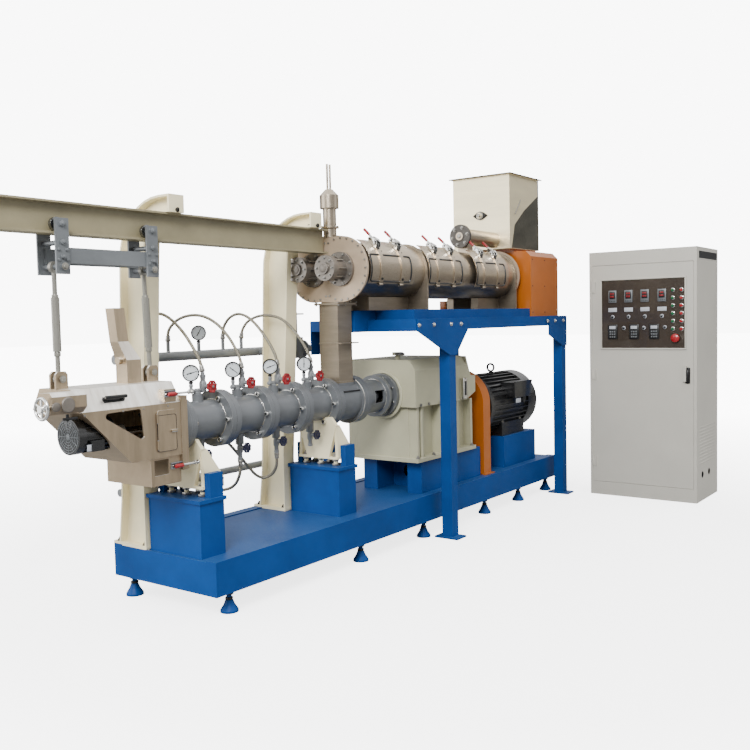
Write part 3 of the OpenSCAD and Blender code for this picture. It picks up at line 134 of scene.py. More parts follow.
# Paint, cast or rolled metal: cloudy colour, fine grain in the gloss, softened and rubbed edges
def makeFinish(name, colour, rough=0.5, metal=0.0, drift=0.10, driftScale=3.0, grainScale=260.0, bump=0.12,
               stretch=(1, 1, 1), edge=0.0016, coat=0.0, wear=None, dustAndPaintedLight=None, dustAndPaintedLightMost=0.35,
               dustAndPaintedLightFrom=0.55, dustAndPaintedLightTo=1.0, roughSpread=0.09, specular=0.5):
    material = bpy.data.materials.new(name)
    material.use_nodes = True
    tree = material.node_tree
    link = tree.links.new
    shader = tree.nodes["Principled BSDF"]
    base = tint(colour)
    place = addNode(tree, "ShaderNodeTexCoord")
    mapping = addNode(tree, "ShaderNodeMapping", {"Scale": stretch})
    link(place.outputs["Object"], mapping.inputs["Vector"])
    cloud = addNode(tree, "ShaderNodeTexNoise", {"Scale": driftScale, "Detail": 5.0, "Roughness": 0.62})
    fine = addNode(tree, "ShaderNodeTexNoise", {"Scale": grainScale, "Detail": 3.0, "Roughness": 0.6})
    for noise in (cloud, fine):
        link(mapping.outputs["Vector"], noise.inputs["Vector"])
    ramp = addNode(tree, "ShaderNodeValToRGB")
    ramp.color_ramp.elements[0].position = 0.32
    ramp.color_ramp.elements[1].position = 0.70
    ramp.color_ramp.elements[0].color = shade(base, 1 - drift)
    ramp.color_ramp.elements[1].color = shade(base, 1 + drift)
    link(cloud.outputs["Fac"], ramp.inputs["Fac"])
    colourOut = ramp.outputs["Color"]
    rounded = addNode(tree, "ShaderNodeBevel", {"Radius": edge}, samples=4)
    # Laid on by how far the surface faces up: dust on some finishes, painted shade and painted highlights on
    # others
    if dustAndPaintedLight:
        colourOut = addDustAndPaintedLight(tree, colourOut, cloud, dustAndPaintedLight, dustAndPaintedLightMost, dustAndPaintedLightFrom, dustAndPaintedLightTo)
    if wear:
        colourOut = addWear(tree, colourOut, rounded, wear)
    link(colourOut, shader.inputs["Base Color"])
    smoothest, roughest = max(0.03, rough - roughSpread), min(1, rough + roughSpread)
    link(remap(tree, fine.outputs["Fac"], (0.3, 0.7), (smoothest, roughest)), shader.inputs["Roughness"])
    relief = addNode(tree, "ShaderNodeBump", {"Strength": bump, "Distance": 0.0006})
    link(fine.outputs["Fac"], relief.inputs["Height"])
    link(rounded.outputs["Normal"], relief.inputs["Normal"])
    link(relief.outputs["Normal"], shader.inputs["Normal"])
    shader.inputs["Metallic"].default_value = metal
    shader.inputs["Coat Weight"].default_value = coat
    shader.inputs["Specular IOR Level"].default_value = specular
    return material


# Wire braid over a hose, wound both ways round it, on the tube's own UV map
def makeBraid(name, colour):
    material = bpy.data.materials.new(name)
    material.use_nodes = True
    tree = material.node_tree
    link = tree.links.new
    shader = tree.nodes["Principled BSDF"]
    place = addNode(tree, "ShaderNodeTexCoord")
    mapping = addNode(tree, "ShaderNodeMapping", {"Scale": (90, 6, 1)})
    link(place.outputs["UV"], mapping.inputs["Vector"])
    heights = []
    for angle in (0.9, -0.9):
        turned = addNode(tree, "ShaderNodeMapping", {"Rotation": (0, 0, angle)})
        link(mapping.outputs["Vector"], turned.inputs["Vector"])
        wave = addNode(tree, "ShaderNodeTexWave", {"Scale": 1.0, "Distortion": 0.2})
        link(turned.outputs["Vector"], wave.inputs["Vector"])
        heights.append(wave.outputs["Fac"])
    both = addNode(tree, "ShaderNodeMath", operation="MULTIPLY")
    link(heights[0], both.inputs[0])
    link(heights[1], both.inputs[1])
    ramp = addNode(tree, "ShaderNodeValToRGB")
    ramp.color_ramp.elements[0].color = shade(tint(colour), 0.42)
    ramp.color_ramp.elements[1].color = shade(tint(colour), 1.15)
    ramp.color_ramp.elements[1].position = 0.55
    link(both.outputs["Value"], ramp.inputs["Fac"])
    link(ramp.outputs["Color"], shader.inputs["Base Color"])
    relief = addNode(tree, "ShaderNodeBump", {"Strength": 0.7, "Distance": 0.0012})
    link(both.outputs["Value"], relief.inputs["Height"])
    link(relief.outputs["Normal"], shader.inputs["Normal"])
    shader.inputs["Metallic"].default_value = 0.75
    shader.inputs["Roughness"].default_value = 0.42
    return material


# Blue paint, greyer on faces that look up
bluePaint = makeFinish("bluePaint", "#003d7d", rough=0.46, drift=0.16, bump=0.10, wear="#2f68a4",
                       dustAndPaintedLight="#4a6272", dustAndPaintedLightMost=0.42, specular=0.18)
creamPaint = makeFinish("creamPaint", "#f0e5bf", rough=0.52, drift=0.10, bump=0.16, wear="#e4dcc0")
gearPaint = makeFinish("gearPaint", "#aeab90", rough=0.42, drift=0.10, grainScale=120, bump=0.30,
                       edge=0.005, wear="#d2cdb8")
# The posts' cream-olive, darkened for the rail: painted shade
railPaintedShade = makeFinish("railPaintedShade", "#8a8267", rough=0.48, drift=0.16, bump=0.18, wear="#a39a7c")
barrelGrey = makeFinish("barrelGrey", "#6a6d70", rough=0.38, metal=0.35, drift=0.12, driftScale=5,
                        bump=0.14, edge=0.002, wear="#a9adaf")
polished = makeFinish("polished", "#e2e1dc", rough=0.18, metal=1.0, drift=0.05, bump=0.05, roughSpread=0.05)
boltSteel = makeFinish("boltSteel", "#93918c", rough=0.32, metal=0.85, drift=0.18, driftScale=40, bump=0.2,
                       edge=0.0008)
darkBolt = makeFinish("darkBolt", "#353432", rough=0.42, metal=0.7, drift=0.2, driftScale=40, bump=0.2,
                      edge=0.0008)
# Satin steel, darkened on faces that turn downwards: painted shade
satinSteel = makeFinish("satinSteel", "#bfb19d", rough=0.32, metal=0.92, drift=0.16, driftScale=2.6,
                        stretch=(1, 1, 7), grainScale=160, bump=0.14, wear="#e0d8ca", dustAndPaintedLight="#24211d",
                        dustAndPaintedLightMost=1.15, dustAndPaintedLightFrom=0.22, dustAndPaintedLightTo=-0.45)
plateSteel = makeFinish("plateSteel", "#b5a28b", rough=0.50, metal=0.45, drift=0.12, driftScale=4,
                        grainScale=200, bump=0.12, wear="#d8cdbd")
chuteSteel = makeFinish("chuteSteel", "#8a7f6f", rough=0.42, metal=0.7, drift=0.16, driftScale=2.6,
                        stretch=(1, 1, 7), grainScale=160, bump=0.14, wear="#cfc5b5")
castSteel = makeFinish("castSteel", "#77716a", rough=0.42, metal=0.6, drift=0.16, driftScale=9, bump=0.2,
                       wear="#b8b2a8")
# Brushed brownish on upright sheets; those that lean upwards get a painted highlight
hoodSteel = makeFinish("hoodSteel", "#a3927a", rough=0.38, metal=0.78, drift=0.16, driftScale=3.5,
                       stretch=(6, 1, 1), grainScale=160, bump=0.14, wear="#d8cfc2", dustAndPaintedLight="#f6f3ec",
                       dustAndPaintedLightMost=1.7, dustAndPaintedLightFrom=0.25, dustAndPaintedLightTo=0.5)
hopperSteel = makeFinish("hopperSteel", "#f3e6c2", rough=0.36, metal=0.72, drift=0.08, driftScale=2.2,
                         stretch=(1, 1, 6), grainScale=160, bump=0.12)
# Dark steel for a painted reflection on the hopper's side sheet
hopperPaintedReflection = makeFinish("hopperPaintedReflection", "#6d6a5e", rough=0.30, metal=0.9, drift=0.30, driftScale=2.2,
                         stretch=(1, 1, 3), grainScale=160, bump=0.12)
castDark = makeFinish("castDark", "#4b4844", rough=0.40, metal=0.6, drift=0.18, driftScale=12, bump=0.2,
                      wear="#8d8982")
shaftSteel = makeFinish("shaftSteel", "#86888a", rough=0.24, metal=1.0, drift=0.08, stretch=(8, 1, 1),
                        bump=0.10)
orangePaint = makeFinish("orangePaint", "#a55607", rough=0.40, drift=0.12, bump=0.12, coat=0.15,
                         wear="#d98a3a", dustAndPaintedLight="#a08058", dustAndPaintedLightMost=0.4)
motorBlack = makeFinish("motorBlack", "#131415", rough=0.30, drift=0.20, bump=0.22, coat=0.25,
                        wear="#44484a", dustAndPaintedLight="#4a4b49", dustAndPaintedLightMost=0.3)
carriageGrey = makeFinish("carriageGrey", "#6f7376", rough=0.42, metal=0.35, drift=0.14, bump=0.16,
                          wear="#8d9193")
rodSteel = makeFinish("rodSteel", "#8c8a82", rough=0.34, metal=0.5, drift=0.12, bump=0.12)
pipeGrey = makeFinish("pipeGrey", "#85888a", rough=0.42, metal=0.35, drift=0.18, bump=0.18)
wheelRed = makeFinish("wheelRed", "#8e0d16", rough=0.34, drift=0.14, driftScale=30, bump=0.10, coat=0.2)
wheelBlue = makeFinish("wheelBlue", "#070d33", rough=0.36, drift=0.15, driftScale=30, bump=0.10, coat=0.2)
cabinetPaint = makeFinish("cabinetPaint", "#bdbab0", rough=0.50, drift=0.05, driftScale=2.0, grainScale=420,
                          bump=0.22)
innerSheet = makeFinish("innerSheet", "#8b8f8e", rough=0.4, metal=0.6, drift=0.08, bump=0.08)
panelDark = makeFinish("panelDark", "#3a322b", rough=0.20, drift=0.16, driftScale=4, bump=0.04, coat=0.5)
dialWhite = makeFinish("dialWhite", "#d6dcdf", rough=0.35, drift=0.04, bump=0.02, coat=0.8, edge=0.0004)
inkBlack = makeFinish("inkBlack", "#0b0c0d", rough=0.35, drift=0.10, bump=0.05, edge=0.0004)
paleGrey = makeFinish("paleGrey", "#b3b7be", rough=0.42, drift=0.06, bump=0.04, edge=0.0006)
buttonGreen = makeFinish("buttonGreen", "#0c5c35", rough=0.30, drift=0.10, bump=0.04, coat=0.5)
buttonRed = makeFinish("buttonRed", "#9c1019", rough=0.30, drift=0.10, bump=0.04, coat=0.5)
chromeSteel = makeFinish("chromeSteel", "#d5d5d2", rough=0.14, metal=1.0, drift=0.06, bump=0.04,
                         roughSpread=0.05)
braidSteel = makeBraid("braidSteel", "#a39d8c")
print("materials made")


# Modelling helpers, in millimetres
def roundEdges(bm, edges, radius, segments=2):
    bmesh.ops.bevel(bm, geom=list(edges), offset=radius, segments=segments, profile=0.5, affect="EDGES",
                    material=-1)


sharpFrom = 0.95  # radians between two faces, from which a rod's edge is rounded


def turnTo(axis):
    return Vector(axis).to_track_quat("Z", "Y").to_matrix().to_4x4()


def rod(bm, a, b, radius, sides=28, edge=0.0, radiusEnd=None):
    a, b = Vector(a), Vector(b)
    made = bmesh.ops.create_cone(bm, cap_ends=True, segments=sides, radius1=radius,
                                 radius2=radius if radiusEnd is None else radiusEnd, depth=(b - a).length,
                                 matrix=Matrix.Translation((a + b) / 2) @ turnTo(b - a))
    if edge:
        touching = {e for v in made["verts"] for e in v.link_edges}
        rims = {e for e in touching if e.is_manifold and e.calc_face_angle() > sharpFrom}
        roundEdges(bm, rims, edge)


def block(bm, low, high, edge=0.0, segments=2, turn=None):
    low, high = Vector(low), Vector(high)
    turned = Matrix.Identity(4) if turn is None else turn
    place = Matrix.Translation((low + high) / 2) @ turned @ Matrix.Diagonal((*(high - low), 1))
    made = bmesh.ops.create_cube(bm, size=1, matrix=place)
    if edge:
        rims = {e for v in made["verts"] for e in v.link_edges}
        roundEdges(bm, rims, edge, segments)


# Turns a profile of (radius, height) points round an axis
def lathe(bm, centre, axis, profile, sides=32, closed=False):
    points = [bm.verts.new((r, 0, h)) for r, h in profile]
    ends = points[1:] + points[:1] if closed else points[1:]
    edges = [bm.edges.new(pair) for pair in zip(points, ends)]
    bmesh.ops.spin(bm, geom=points + edges, cent=(0, 0, 0), axis=(0, 0, 1), angle=2 * math.pi, steps=sides,
                   use_merge=True, use_duplicate=False)
    shape = set(points)
    todo = list(points)
    while todo:
        for e in todo.pop().link_edges:
            for v in e.verts:
                if v not in shape:
                    shape.add(v)
                    todo.append(v)
    bmesh.ops.remove_doubles(bm, verts=list(shape), dist=0.01)
    shape = [v for v in shape if v.is_valid]
    bmesh.ops.transform(bm, matrix=Matrix.Translation(Vector(centre)) @ turnTo(axis), verts=shape)


def ring(bm, centre, axis, radius, tube, sides=40, around=10):
    angles = [2 * math.pi * k / around for k in range(around)]
    section = [(radius + tube * math.cos(a), tube * math.sin(a)) for a in angles]
    lathe(bm, centre, axis, section, sides, closed=True)


# Flat plate cut to an outline of 3-D points, given thickness along depth
def slab(bm, points, depth, edge=0.0):
    face = bm.faces.new([bm.verts.new(p) for p in points])
    made = bmesh.ops.extrude_face_region(bm, geom=[face])
    moved = [v for v in made["geom"] if isinstance(v, bmesh.types.BMVert)]
    bmesh.ops.translate(bm, verts=moved, vec=Vector(depth))
    if edge:
        rims = {e for v in list(face.verts) + moved for e in v.link_edges}
        roundEdges(bm, rims, edge)


# Hexagon head with its washer; stud is how far the thread stands out beyond it
def hexBolt(bm, seat, axis, size=9.0, height=7.0, stud=0.0):
    seat, axis = Vector(seat), Vector(axis).normalized()
    start = seat + axis * 1.8
    rod(bm, seat, start, size * 1.3, 18)
    rod(bm, start, start + axis * height, size, 6, edge=size * 0.09)
    if stud:
        rod(bm, start + axis * height, start + axis * (height + stud), size * 0.55, 12, edge=size * 0.08)


def circlePoints(centre, axis, radius, count, first=0.0):
    turn = turnTo(axis)
    angles = [first + 2 * math.pi * k / count for k in range(count)]
    return [Vector(centre) + (turn @ Vector((radius * math.cos(a), radius * math.sin(a), 0))) for a in angles]


def boltCircle(bm, centre, axis, radius, count, first=0.0, **kind):
    for p in circlePoints(centre, axis, radius, count, first):
        hexBolt(bm, p, axis, **kind)


def capScrew(bm, seat, axis, radius=6.0, height=4.0):
    seat, axis = Vector(seat), Vector(axis).normalized()
    rod(bm, seat, seat + axis * height, radius, 14, edge=radius * 0.15)


# Outline of a rectangle with blunted corners; its two upright sides are cut into steps
def bluntOutline(x0, x1, first, last, cut, nip, steps=1):
    (cutX, cutZ), (nipX, nipZ) = cut, nip
    way = 1 if last > first else -1
    start, end = first + way * cutZ, last - way * cutZ
    side = [start + (end - start) * k / steps for k in range(steps + 1)]
    nipFirst, nipLast = first + way * nipZ, last - way * nipZ
    points = [(x0 + cutX, first), (x1 - cutX, first), (x1 - nipX, nipFirst)] + [(x1, z) for z in side]
    points += [(x1 - nipX, nipLast), (x1 - cutX, last), (x0 + cutX, last), (x0 + nipX, nipLast)]
    return points + [(x0, z) for z in reversed(side)] + [(x0 + nipX, nipFirst)]


# Closed wire through points
def wire(bm, points, radius):
    for a, b in zip(points, points[1:] + points[:1]):
        rod(bm, a, b, radius, 8)


# Point at an angle, in degrees from the near side upwards, round an axis that runs along the machine
def around(x, centreY, centreZ, angle, radius):
    angle = math.radians(angle)
    return Vector((x, centreY - radius * math.cos(angle), centreZ + radius * math.sin(angle)))


creaseAngle = math.radians(35)
pieceCount = 0


# Ends a piece: into metres, closed and smooth, riding on its body
def piece(name, bm, body, material, replaces=()):
    global pieceCount
    bmesh.ops.recalc_face_normals(bm, faces=bm.faces)
    bmesh.ops.transform(bm, matrix=toRow, verts=bm.verts)
    mesh = bpy.data.meshes.new(name)
    bm.to_mesh(mesh)
    bm.free()
    mesh.shade_smooth()
    mesh.set_sharp_from_angle(angle=creaseAngle)
    made = bpy.data.objects.new(name, mesh)
    scene.collection.objects.link(made)
    mesh.materials.append(material)
    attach(made, body)
    for nodeName in replaces:
        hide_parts(nodeName)
    pieceCount += 1
    return made


# Cords: the steam hoses above the barrel and the drain hoses below it
hoseRoutes = {
    "steam_hose_1": [[262, 372, 1400], [260, 362, 1466], [246, 318, 1526], [228, 250, 1556], [218, 180, 1554],
                     [224, 110, 1518], [238, 40, 1450], [248, -20, 1368], [252, -62, 1300], [253, -80, 1241]],
    "steam_hose_2": [[412, 372, 1400], [414, 362, 1466], [440, 318, 1522], [484, 258, 1548], [524, 184, 1540],
                     [552, 106, 1494], [562, 30, 1422], [558, -34, 1346], [552, -70, 1290], [551, -80, 1241]],
    "steam_hose_3": [[851, 372, 1400], [850, 362, 1466], [853, 318, 1524], [858, 252, 1552], [862, 180, 1540],
                     [864, 104, 1492], [862, 30, 1420], [856, -34, 1346], [850, -70, 1290], [849, -80, 1241]],
    "steam_hose_4": [[1012, 372, 1400], [1018, 364, 1452], [1036, 342, 1498], [1052, 300, 1526],
                     [1060, 236, 1541], [1069, 170, 1540], [1080, 96, 1521], [1100, 36, 1474],
                     [1122, -14, 1408], [1142, -50, 1340], [1154, -72, 1284], [1155, -80, 1241]],
    "drain_hose_1": [[517, -80, 725], [517, -80, 690], [522, -66, 640], [540, -20, 586], [566, 50, 546],
                     [580, 130, 522], [574, 210, 508], [548, 290, 496], [508, 350, 484], [478, 370, 492],
                     [470, 372, 515]],
    "drain_hose_2": [[820, -80, 725], [820, -80, 690], [828, -66, 640], [832, -26, 592], [814, 20, 568],
                     [774, 48, 588], [720, 60, 648], [660, 66, 716], [596, 68, 782], [534, 66, 834],
                     [492, 64, 868], [480, 64, 900]],
}
hoseSetup = {"radius": 9, "perStep": 6, "ferrule": 34, "ferruleOut": 3.5, "nut": 16, "nutOut": 6.5,
             "crimps": (21, 27)}


# Smooth curve through the route's points
def smoothRoute(points, steps):
    p = [Vector(q) for q in points]
    p = [2 * p[0] - p[1]] + p + [2 * p[-1] - p[-2]]
    out = []
    for a, b, c, d in zip(p, p[1:], p[2:], p[3:]):
        for k in range(steps):
            t = k / steps
            bend = (2 * a - 5 * b + 4 * c - d) * t * t + (3 * b - a - 3 * c + d) * t ** 3
            out.append(0.5 * (2 * b + (c - a) * t + bend))
    return out + [p[-2]]


def makeHose(nodeName, route):
    line = smoothRoute(route, hoseSetup["perStep"])
    curve = bpy.data.curves.new(nodeName + "_line", "CURVE")
    curve.dimensions = "3D"
    curve.bevel_depth = hoseSetup["radius"] / 1000
    curve.bevel_resolution = 3
    curve.use_fill_caps = True
    spline = curve.splines.new("POLY")
    spline.points.add(len(line) - 1)
    for place, p in zip(spline.points, line):
        place.co = (*row(p), 1)
    hose = bpy.data.objects.new(nodeName + "_braid", curve)
    scene.collection.objects.link(hose)
    curve.materials.append(braidSteel)
    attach(hose, "frame")
    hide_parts(nodeName)
    # Crimped ferrule and union nut at each end
    bm = bmesh.new()
    ferrule = hoseSetup["radius"] + hoseSetup["ferruleOut"]
    for start, onward in ((line[0], line[2]), (line[-1], line[-3])):
        way = (onward - start).normalized()
        rod(bm, start, start + way * hoseSetup["ferrule"], ferrule, 20, edge=1.0)
        rod(bm, start, start + way * hoseSetup["nut"], hoseSetup["radius"] + hoseSetup["nutOut"], 6, edge=1.2)
        for k in hoseSetup["crimps"]:
            ring(bm, start + way * k, way, ferrule, 0.9, 20, 6)
    fittings = piece(nodeName + "_fittings", bm, "frame", boltSteel)


for nodeName, route in hoseRoutes.items():
    makeHose(nodeName, route)
print("hoses made")


# Barrel
dieLow, dieHigh = boxOf("die_head")
barrelY, barrelZ = (dieLow.y + dieHigh.y) / 2, (dieLow.z + dieHigh.z) / 2
flangeR = (dieHigh.z - dieLow.z) / 2
barrelSetup = {"flange": 35, "body": 105, "circle": 128, "angles": range(1, 361, 60), "head": 13,
               "headLength": 21, "bracketPlate": 27, "dieNutX": 74}
lanternSetup = {"circle": 124, "angles": (25, 70, 115, 160, 205, 250, 295, 340), "flange": 39, "head": 9,
                "headLength": 17, "collarX": 114, "collar": 114}
sleeveSetup = {"inner": 106, "outer": 129, "ends": 35, "shadowStrip": (78, 63), "shadowStripHeight": 8}
joints = [boxOf(f"barrel_section_{i}")[1].x for i in (1, 2, 3, 4)]
feedLow, feedHigh = boxOf("feed_section")
lanternEnd = boxOf("coupling_lantern")[1].x
flange, circle = barrelSetup["flange"], barrelSetup["circle"]
headBm, socketShadeBm, nutBm, ringBm, seamBm = (bmesh.new() for _ in range(5))


def onBarrel(x, angle, radius):
    return around(x, barrelY, barrelZ, angle, radius)


# Cap screw along the barrel; a black disc on its head paints the shade in its socket
def socketScrew(start, head, angle, onCircle, radius, socket, sides, edge):
    rod(headBm, onBarrel(start, angle, onCircle), onBarrel(head, angle, onCircle), radius, sides, edge=edge)
    rod(socketShadeBm, onBarrel(head + 1, angle, onCircle), onBarrel(head - 0.4, angle, onCircle), socket, 6)


for x in joints:
    left, right = x - flange, x + flange
    for angle in barrelSetup["angles"]:
        # The last joint's lower screws go through the bracket's end plate
        face = left - barrelSetup["bracketPlate"] if x == joints[3] and 200 < angle < 340 else left
        head = face - barrelSetup["headLength"]
        socketScrew(face + 1, head, angle, circle, barrelSetup["head"], 7, 24, 1.6)
        hexBolt(nutBm, onBarrel(right, angle, circle), (1, 0, 0), size=13, height=11, stud=6)
    ring(ringBm, (left - 2, barrelY, barrelZ), (1, 0, 0), barrelSetup["body"] + 2.5, 2.6, 72, 8)
    ring(seamBm, (x, barrelY, barrelZ), (1, 0, 0), flangeR - 0.8, 1.2, 90, 6)
for angle in barrelSetup["angles"]:
    hexBolt(nutBm, onBarrel(barrelSetup["dieNutX"], angle, circle), (1, 0, 0), size=13, height=11, stud=6)
ring(ringBm, (feedHigh.x - flange, barrelY, barrelZ), (1, 0, 0), flangeR - 3, 3.4, 80, 8)
start = lanternEnd - lanternSetup["flange"]
for angle in lanternSetup["angles"]:
    head = start - lanternSetup["headLength"]
    socketScrew(start, head, angle, lanternSetup["circle"], lanternSetup["head"], 5, 20, 1.2)
collarX = lanternEnd - lanternSetup["collarX"]
ring(ringBm, (collarX, barrelY, barrelZ), (1, 0, 0), lanternSetup["collar"], 3, 72, 8)
piece("barrel_heads", headBm, "frame", polished)
# Black discs on the screw heads: painted shade of their sockets
piece("barrel_socket_shade", socketShadeBm, "frame", inkBlack)
piece("barrel_nuts", nutBm, "frame", boltSteel)
piece("joint_rings", ringBm, "frame", polished)
piece("joint_seams", seamBm, "frame", darkBolt)

# Stepped end of the first section, next to the die
inner, outer = sleeveSetup["inner"], sleeveSetup["outer"]
bm = bmesh.new()
band = [(inner, 27), (flangeR, 27), (flangeR, 40), (flangeR - 5, 41), (flangeR - 5, 55), (flangeR - 9, 56),
        (flangeR - 9, 72), (flangeR - 11, 74), (inner, 74)]
lathe(bm, (dieHigh.x, barrelY, barrelZ), (1, 0, 0), [(r, x - dieHigh.x) for r, x in band], 72, closed=True)
piece("die_band", bm, "frame", barrelGrey)

# Wide sleeve of the feed section, with a painted shadow along its near side
bm = bmesh.new()
sleeveLength = feedHigh.x - feedLow.x - 2 * sleeveSetup["ends"]
sleeve = [(inner, 0), (outer, 0), (outer, sleeveLength), (inner, sleeveLength)]
lathe(bm, (feedLow.x + sleeveSetup["ends"], barrelY, barrelZ), (1, 0, 0), sleeve, 72, closed=True)
piece("feed_sleeve", bm, "frame", barrelGrey)
# Black strip along the sleeve's near side: painted shadow
bm = bmesh.new()
shadowStripX, shadowStripZ = feedLow.x + sleeveSetup["shadowStrip"][0], barrelZ + sleeveSetup["shadowStrip"][1]
shadowStripTop = shadowStripZ + sleeveSetup["shadowStripHeight"]
block(bm, (shadowStripX, barrelY - 119, shadowStripZ), (feedHigh.x - 37, barrelY - 100, shadowStripTop), edge=1)
piece("feed_painted_shadow", bm, "frame", inkBlack)

# Valves, spindles and wheels
sectionStarts = [dieHigh.x, *joints[:3]]
valveSetup = {"wheel": 34, "drainWheel": 30, "spokes": 5, "wheelOut": 70, "spindleUp": 38, "pipeUp": 17,
              "bossBack": 42, "shifts": (261, 201, 195, 197), "gaugeGaps": (85, 72, 66, 68),
              "drainShifts": (226, 167, 166, 172), "drainDown": 90, "drainSpindle": 17}
bossTop = boxOf("steam_valves")[0].z
bossLow = boxOf("barrel_section_1")[0].z
valveXs = [x + shift for x, shift in zip(sectionStarts, valveSetup["shifts"])]
gaugeXs = [x - gap for x, gap in zip(valveXs, valveSetup["gaugeGaps"])]
drainXs = [x + shift for x, shift in zip(sectionStarts, valveSetup["drainShifts"])]
wheelY = barrelY - valveSetup["wheelOut"]
spindleZ = bossTop + valveSetup["spindleUp"]
pipeZ = bossTop + valveSetup["pipeUp"]


def spokedWheel(bm, centre, axis, radius, tube, spokes, hub, lobes=0):
    centre = Vector(centre)
    turn = turnTo(axis)
    ring(bm, centre, axis, radius - tube, tube, 40, 10)
    if lobes:
        half = turn @ Vector((0, 0, tube * 1.1))
        for p in circlePoints(centre, axis, radius - tube, lobes, 0.3):
            rod(bm, p - half, p + half, tube * 1.25, 12, edge=1.0)
    webIn, webOut, web = hub, radius * 0.62, tube * 0.3
    lathe(bm, centre, axis, [(webIn, -web), (webOut, -web), (webOut, web), (webIn, web)], 32, closed=True)
    for p in circlePoints(centre, axis, radius - tube, spokes, 0.3):
        rod(bm, centre, p, tube * 0.85, 8)
    half = turn @ Vector((0, 0, hub * 0.8))
    rod(bm, centre - half, centre + half, hub, 18, edge=1.2)


bodyBm, wheelBm = bmesh.new(), bmesh.new()
for valveX, gaugeX in zip(valveXs, gaugeXs):
    bossX = valveX - valveSetup["bossBack"]
    rod(bodyBm, (bossX, barrelY, bossTop), (bossX, barrelY, bossTop + 12), 22, 6, edge=2)
    # Cross piece that joins the gauge, the valve and the nozzle
    rod(bodyBm, (gaugeX - 14, barrelY, pipeZ), (valveX + 16, barrelY, pipeZ), 10, 20, edge=1.5)
    for x in (gaugeX, bossX, valveX):
        rod(bodyBm, (x - 15, barrelY, pipeZ), (x + 15, barrelY, pipeZ), 12.5, 20, edge=2)
    lathe(bodyBm, (valveX, barrelY, bossTop + 8), (0, 0, 1),
          [(0, 0), (15, 0), (15, 10), (18, 14), (20.5, 24), (20.5, 48), (17, 56), (14, 60), (14, 76),
           (16, 77), (16, 92), (11, 93), (11, 107), (0, 107)], 24)
    rod(bodyBm, (valveX, barrelY, bossTop + 88), (valveX, barrelY, bossTop + 100), 17, 6, edge=1.4)
    rod(bodyBm, (valveX, barrelY - 18, spindleZ), (valveX, barrelY - 44, spindleZ), 12, 6, edge=1.3)
    rod(bodyBm, (valveX, barrelY, spindleZ), (valveX, wheelY + 4, spindleZ), 6.5, 16)
    spokedWheel(wheelBm, (valveX, wheelY, spindleZ), (0, -1, 0), valveSetup["wheel"], 5.4,
                valveSetup["spokes"], 9, lobes=8)
    rod(bodyBm, (valveX, wheelY - 6, spindleZ), (valveX, wheelY - 13, spindleZ), 6, 6, edge=0.8)
    rod(bodyBm, (gaugeX, barrelY, bossTop + 20), (gaugeX, barrelY, bossTop + 56), 9.5, 18)
    rod(bodyBm, (gaugeX, barrelY, bossTop + 40), (gaugeX, barrelY, bossTop + 52), 12, 6, edge=1.1)
piece("steam_valve_bodies", bodyBm, "frame", pipeGrey, replaces=["steam_valves"])
piece("steam_valve_wheels", wheelBm, "frame", wheelRed)

bodyBm, wheelBm = bmesh.new(), bmesh.new()
end, spindle = bossLow - valveSetup["drainDown"], bossLow - valveSetup["drainSpindle"]
drainBody = [(0, 0), (13, 0), (13, 38), (18, 46), (18, 76), (13, 82), (13, 90), (0, 90)]
for x in drainXs:
    lathe(bodyBm, (x, barrelY, end), (0, 0, 1), drainBody, 22)
    rod(bodyBm, (x, barrelY, bossLow - 12), (x, barrelY, bossLow - 1), 17, 6, edge=1.3)
    rod(bodyBm, (x, barrelY, end + 2), (x, barrelY, end + 15), 16, 6, edge=1.3)
    rod(bodyBm, (x, barrelY, spindle), (x, wheelY + 18, spindle), 6, 14)
    rod(bodyBm, (x, barrelY - 16, spindle), (x, barrelY - 34, spindle), 11, 6, edge=1.2)
    spokedWheel(wheelBm, (x, wheelY + 14, spindle), (0, -1, 0), valveSetup["drainWheel"], 4.8,
                valveSetup["spokes"], 8, lobes=8)
piece("drain_valve_bodies", bodyBm, "frame", pipeGrey, replaces=["drain_valves"])
piece("drain_valve_wheels", wheelBm, "frame", wheelBlue)

